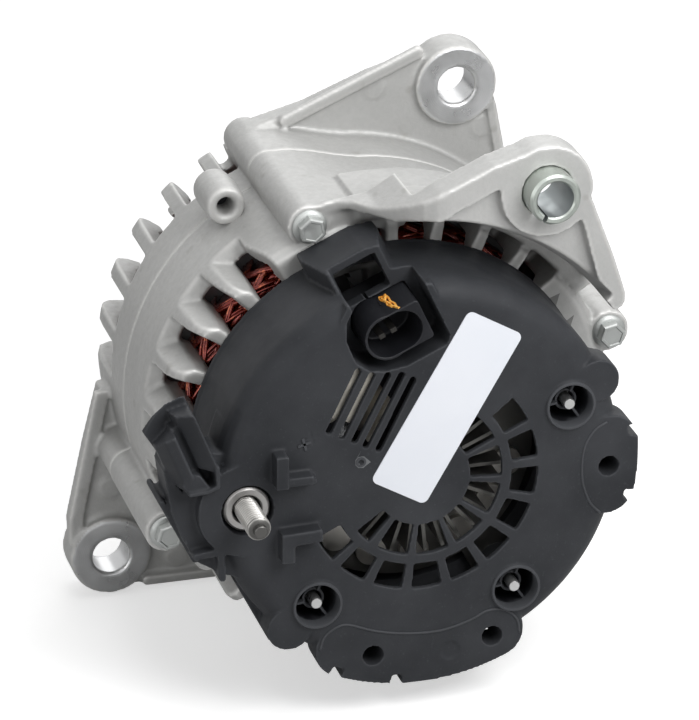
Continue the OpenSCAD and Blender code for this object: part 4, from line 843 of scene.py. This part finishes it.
def stud_wells():
    parts = []
    for well in WELLS:
        parts += [lathe(WELL_RIM, well, 56), lathe(WELL_HUB, well, 32)]
        for angle in SPOKE_ANGLES:
            parts.append(box(*SPOKE_R, -SPOKE_HALF, SPOKE_HALF, *SPOKE_Z, axes_at(well, angle)))
    add("stud_well_rims", parts, "cover", CREASE)


def cover_marks():
    """A plus beside the output stud and the ring of the gate."""
    place = axes_at(PLUS, PLUS_TURN)
    parts = [box(-w, w, -h, h, *MARK_Z, place) for w, h in PLUS_BARS]
    parts.append(lathe(GATE_RING, GATE, 24))
    add("cover_marks", parts, "cover", CREASE)


def flange_beads():
    for name, points in FLANGE_BEADS.items():
        path = [(x, y, COVER_Z) for x, y in smooth_path(points)]
        add(name, [tube(path, BEAD_R, 8)], "cover")


# Flat contacts in the socket, in its axes: middles, half width and half thickness, and heights
CONTACT_X = (-3.8, 0.4)
CONTACT_HALVES = (1.0, 0.8)
CONTACT_Z = (139, 150.2)


def plug_contacts():
    w, h = CONTACT_HALVES
    # The contacts get the near-black metal as painted shade
    parts = [box(x - w, x + w, -h, h, *CONTACT_Z, plug) for x in CONTACT_X]
    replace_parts(add("plug_contacts", parts, "pin", CREASE), "connector_pins")


# Bars seen through the slots: ends of a slot, half width, start and stop as shares of it, and top
SLOT_BARS = [((-22, 40.6), (-31.5, 20.9), 1.25, -0.04, 0.74, 151.2),
             ((-17.4, 38.9), (-27.2, 18.7), 1.25, -0.02, 0.72, 151.2),
             ((-7.5, 37.7), (-19.2, 14.5), 0.22, 0.34, 0.94, 150.4)]
# Shift for a millimetre of depth that keeps a point in line with its slot from the camera
IN_LINE = Vector((0.29, -0.46))
BAR_FOOT = 136.4
PLATE = (-22, 30)


def regulator_fins():
    parts = []
    for p, q, half, start, stop, top in SLOT_BARS:
        p, q, shift = Vector(p), Vector(q), IN_LINE * (COVER_Z - top)
        parts.append(bar(p.lerp(q, start) + shift, p.lerp(q, stop) + shift, half, BAR_FOOT, top))
    parts.append(box(-12, 7, -11, 9, 135.2, 137, axes_at(PLATE, SOCKET_TURN)))
    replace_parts(add("regulator_fins_form", parts, "fin", CREASE), "regulator_fins")


# Brush strokes on the socket's upper side: wire radius and (x, z) points in the socket's axes
SHELL_TOP = 7.32
STROKES = [
    (0.55, [(1.6, 140.0), (2.6, 140.6), (3.7, 140.2), (3.2, 142.2), (2.4, 143.6), (2.9, 145.6)]),
    (0.38, [(3.7, 140.2), (4.1, 142.6), (3.9, 145.4), (4.6, 148.2), (4.5, 151.2)]),
    (0.45, [(2.2, 141.4), (2.5, 143.9), (3.3, 146.4), (3.4, 148.8), (4.2, 150.8), (4.9, 152.6)]),
    (0.28, [(1.4, 141.2), (1.7, 142.6), (2.6, 144.8), (2.4, 147.2), (3.3, 149.8)]),
]
FRAME_LINE_R = 0.16
SHELL_FRAME = [(-1.4, 140.2), (0.9, 140.9), (0.7, 145.0), (-1.6, 144.6), (-1.4, 140.2)]


def shell_marks():
    """The paint mark, and an empty moulded frame beside it."""
    strokes = [tube([(*plug(x, SHELL_TOP - 0.05), z) for x, z in line], r, 6) for r, line in STROKES]
    add("paint_mark", strokes, "paint", CREASE)
    outline = tube([(*plug(x, SHELL_TOP), z) for x, z in SHELL_FRAME], FRAME_LINE_R, 6)
    add("shell_frame_mark", [outline], "deep", CREASE)


# Studs and bolts
STUD_TOP = COVER_Z + 17
STUD_TIP = [(3.35, -3.5), (3.9, -3.4), (3.9, -3.0), (3.1, -2.4), (2.3, -2.2), (2.2, -0.3), (1.9, 0)]
SMALL_TIP = [(1.9, -8.8), (1.95, -8.6), (1.95, -0.9), (1.7, -0.6)]
NUT = [(2.6, 131.2), (4.5, 131.2), (4.6, 131.4), (4.6, 133.8), (4.4, 134), (2.6, 134)]
COLLAR = [(4.75, 140), (4.75, 152.6), (5.2, 153.1), (6.9, 153.1), (7.6, 152.5), (7.7, 151.8),
          (7.7, 149.4), (6, 149.4), (6, 140)]
SEAT = RIM_Z - 1.2
BOLT_TIP = [(0.2, 35.2), (2.0, 35.2), (2.45, 36)]
BOLT_FLANGE = [(2.45, 0.05), (5.75, 0.05), (5.8, 0.5), (5.5, 1.0), (4.5, 1.5), (0.2, 1.5)]
HEAD_TURN = 12
HEAD_TURN_STEP = 31
BOLT_HEAD = [(4.62, 1.3), (4.62, 4.5), (4.15, 5.05), (3.5, 5.1), (3.2, 4.75)]


def raised(profile, z):
    return [(r, z + height) for r, height in profile]


def output_stud():
    tip = raised(STUD_TIP, STUD_TOP)
    rod = threaded(STUD, 128.0, STUD_TOP - 3.6, r=4.0, pitch=1.25, tip=tip, count=40, steps=8)
    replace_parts(add("output_stud_thread", [rod], "stud", THREAD_CREASE), "output_stud")


def cover_studs():
    parts = []
    tip = raised(SMALL_TIP, COVER_Z)
    for well in WELLS:
        parts.append(threaded(well, 110.3, COVER_Z - 9, r=2.5, pitch=0.8, tip=tip, count=28, steps=6))
        parts.append(lathe(NUT, well, 6))
    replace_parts(add("cover_stud_threads", parts, "zinc", THREAD_CREASE), "cover_studs")


def output_collar():
    ring = lathe(COLLAR, STUD, 72)
    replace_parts(add("output_collar_ring", [ring], "collar", CREASE), "output_collar")


def through_bolts():
    parts = []
    for k, centre in enumerate(BOLTS):
        parts.append(lathe(BOLT_TIP + raised(BOLT_FLANGE, SEAT), centre, 48))
        parts.append(hexagon(centre, HEAD_TURN + HEAD_TURN_STEP * k, raised(BOLT_HEAD, SEAT)))
    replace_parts(add("through_bolt_heads", parts, "bolt", CREASE), "through_bolts")


def shade_nodes():
    """Smooth curves and crisp edges on the CAD nodes that are still shown."""
    for ob in nodes.values():
        if not ob.hide_render:
            ob.data.shade_smooth()
            ob.data.set_sharp_from_angle(angle=math.radians(NODE_CREASE))


# Stage and light, in metres and watts
FLOOR_HALF = 8
FLOOR_GAP = 0.0005
FLOOR_GLOW = 0.55
WORLD_LIGHT = 0.26
# Place, point aimed at, size and power of each lamp
LAMPS = {
    "key": ((0.15, -0.42, 0.32), (0.02, -0.12, 0.02), 0.26, 1.6),
    "top": ((0.05, -0.06, 0.75), (0, -0.08, 0), 0.55, 2.1),
    "fill": ((-0.85, -0.80, 0.12), (0, -0.10, 0), 0.8, 2.0),
    "front": ((0.3, 0.9, 0.5), (0, 0, 0), 0.8, 2.2),
}


def floor():
    """A pale floor that glows for the camera only and keeps the object's shadow."""
    z = cad_box[0].z - FLOOR_GAP
    me = bpy.data.meshes.new("floor")
    corners = ((-1, -1), (1, -1), (1, 1), (-1, 1))
    me.from_pydata([(x * FLOOR_HALF, y * FLOOR_HALF, z) for x, y in corners], [], [(0, 1, 2, 3)])
    ob = bpy.data.objects.new("floor", me)
    scene.collection.objects.link(ob)
    m = Mat("floor_white", (0.80, 0.80, 0.80), 0.9, spec=0.1)
    m.set("Emission Color", (1, 1, 1, 1))
    seen = m.new("ShaderNodeLightPath").outputs["Is Camera Ray"]
    m.fill(m.shader.inputs["Emission Strength"], m.ramp(seen, 0, 1, 0.0, FLOOR_GLOW))
    me.materials.append(m.material)


def world():
    """A white world for the camera and in reflections, and a dim one as light."""
    studio = bpy.data.worlds.new("studio")
    scene.world = studio
    studio.use_nodes = True
    tree = studio.node_tree
    background = tree.nodes["Background"]
    background.inputs[0].default_value = (1, 1, 1, 1)
    ray = tree.nodes.new("ShaderNodeLightPath")
    seen = ray.outputs["Is Camera Ray"]
    for kind in ("Is Glossy Ray", "Is Transmission Ray"):
        either = tree.nodes.new("ShaderNodeMath")
        either.operation = "MAXIMUM"
        tree.links.new(seen, either.inputs[0])
        tree.links.new(ray.outputs[kind], either.inputs[1])
        seen = either.outputs[0]
    strength = tree.nodes.new("ShaderNodeMapRange")
    tree.links.new(seen, strength.inputs["Value"])
    strength.inputs["To Min"].default_value = WORLD_LIGHT
    strength.inputs["To Max"].default_value = 1.0
    tree.links.new(strength.outputs[0], background.inputs[1])


def lamps():
    for name, (place, target, size, power) in LAMPS.items():
        light = bpy.data.lights.new(name, "AREA")
        light.shape = "RECTANGLE"
        light.size = size
        light.size_y = size
        light.energy = power
        ob = bpy.data.objects.new(name, light)
        scene.collection.objects.link(ob)
        ob.visible_camera = False
        ob.location = place
        ob.rotation_euler = (Vector(target) - Vector(place)).to_track_quat("-Z", "Y").to_euler()


camera()
dress_nodes()
front_bracket()
rear_bracket()
winding("winding_rear_wires", "winding_rear", z0=86.6, z1=103.5, count=54, seed=3, strands=8)
winding("winding_front_wires", "winding_front", z0=45.4, z1=28.5, count=36, seed=5, strands=6)
rear_cover()
stud_wells()
cover_marks()
flange_beads()
plug_contacts()
regulator_fins()
shell_marks()
output_stud()
cover_studs()
output_collar()
through_bolts()
shade_nodes()
floor()
world()
lamps()
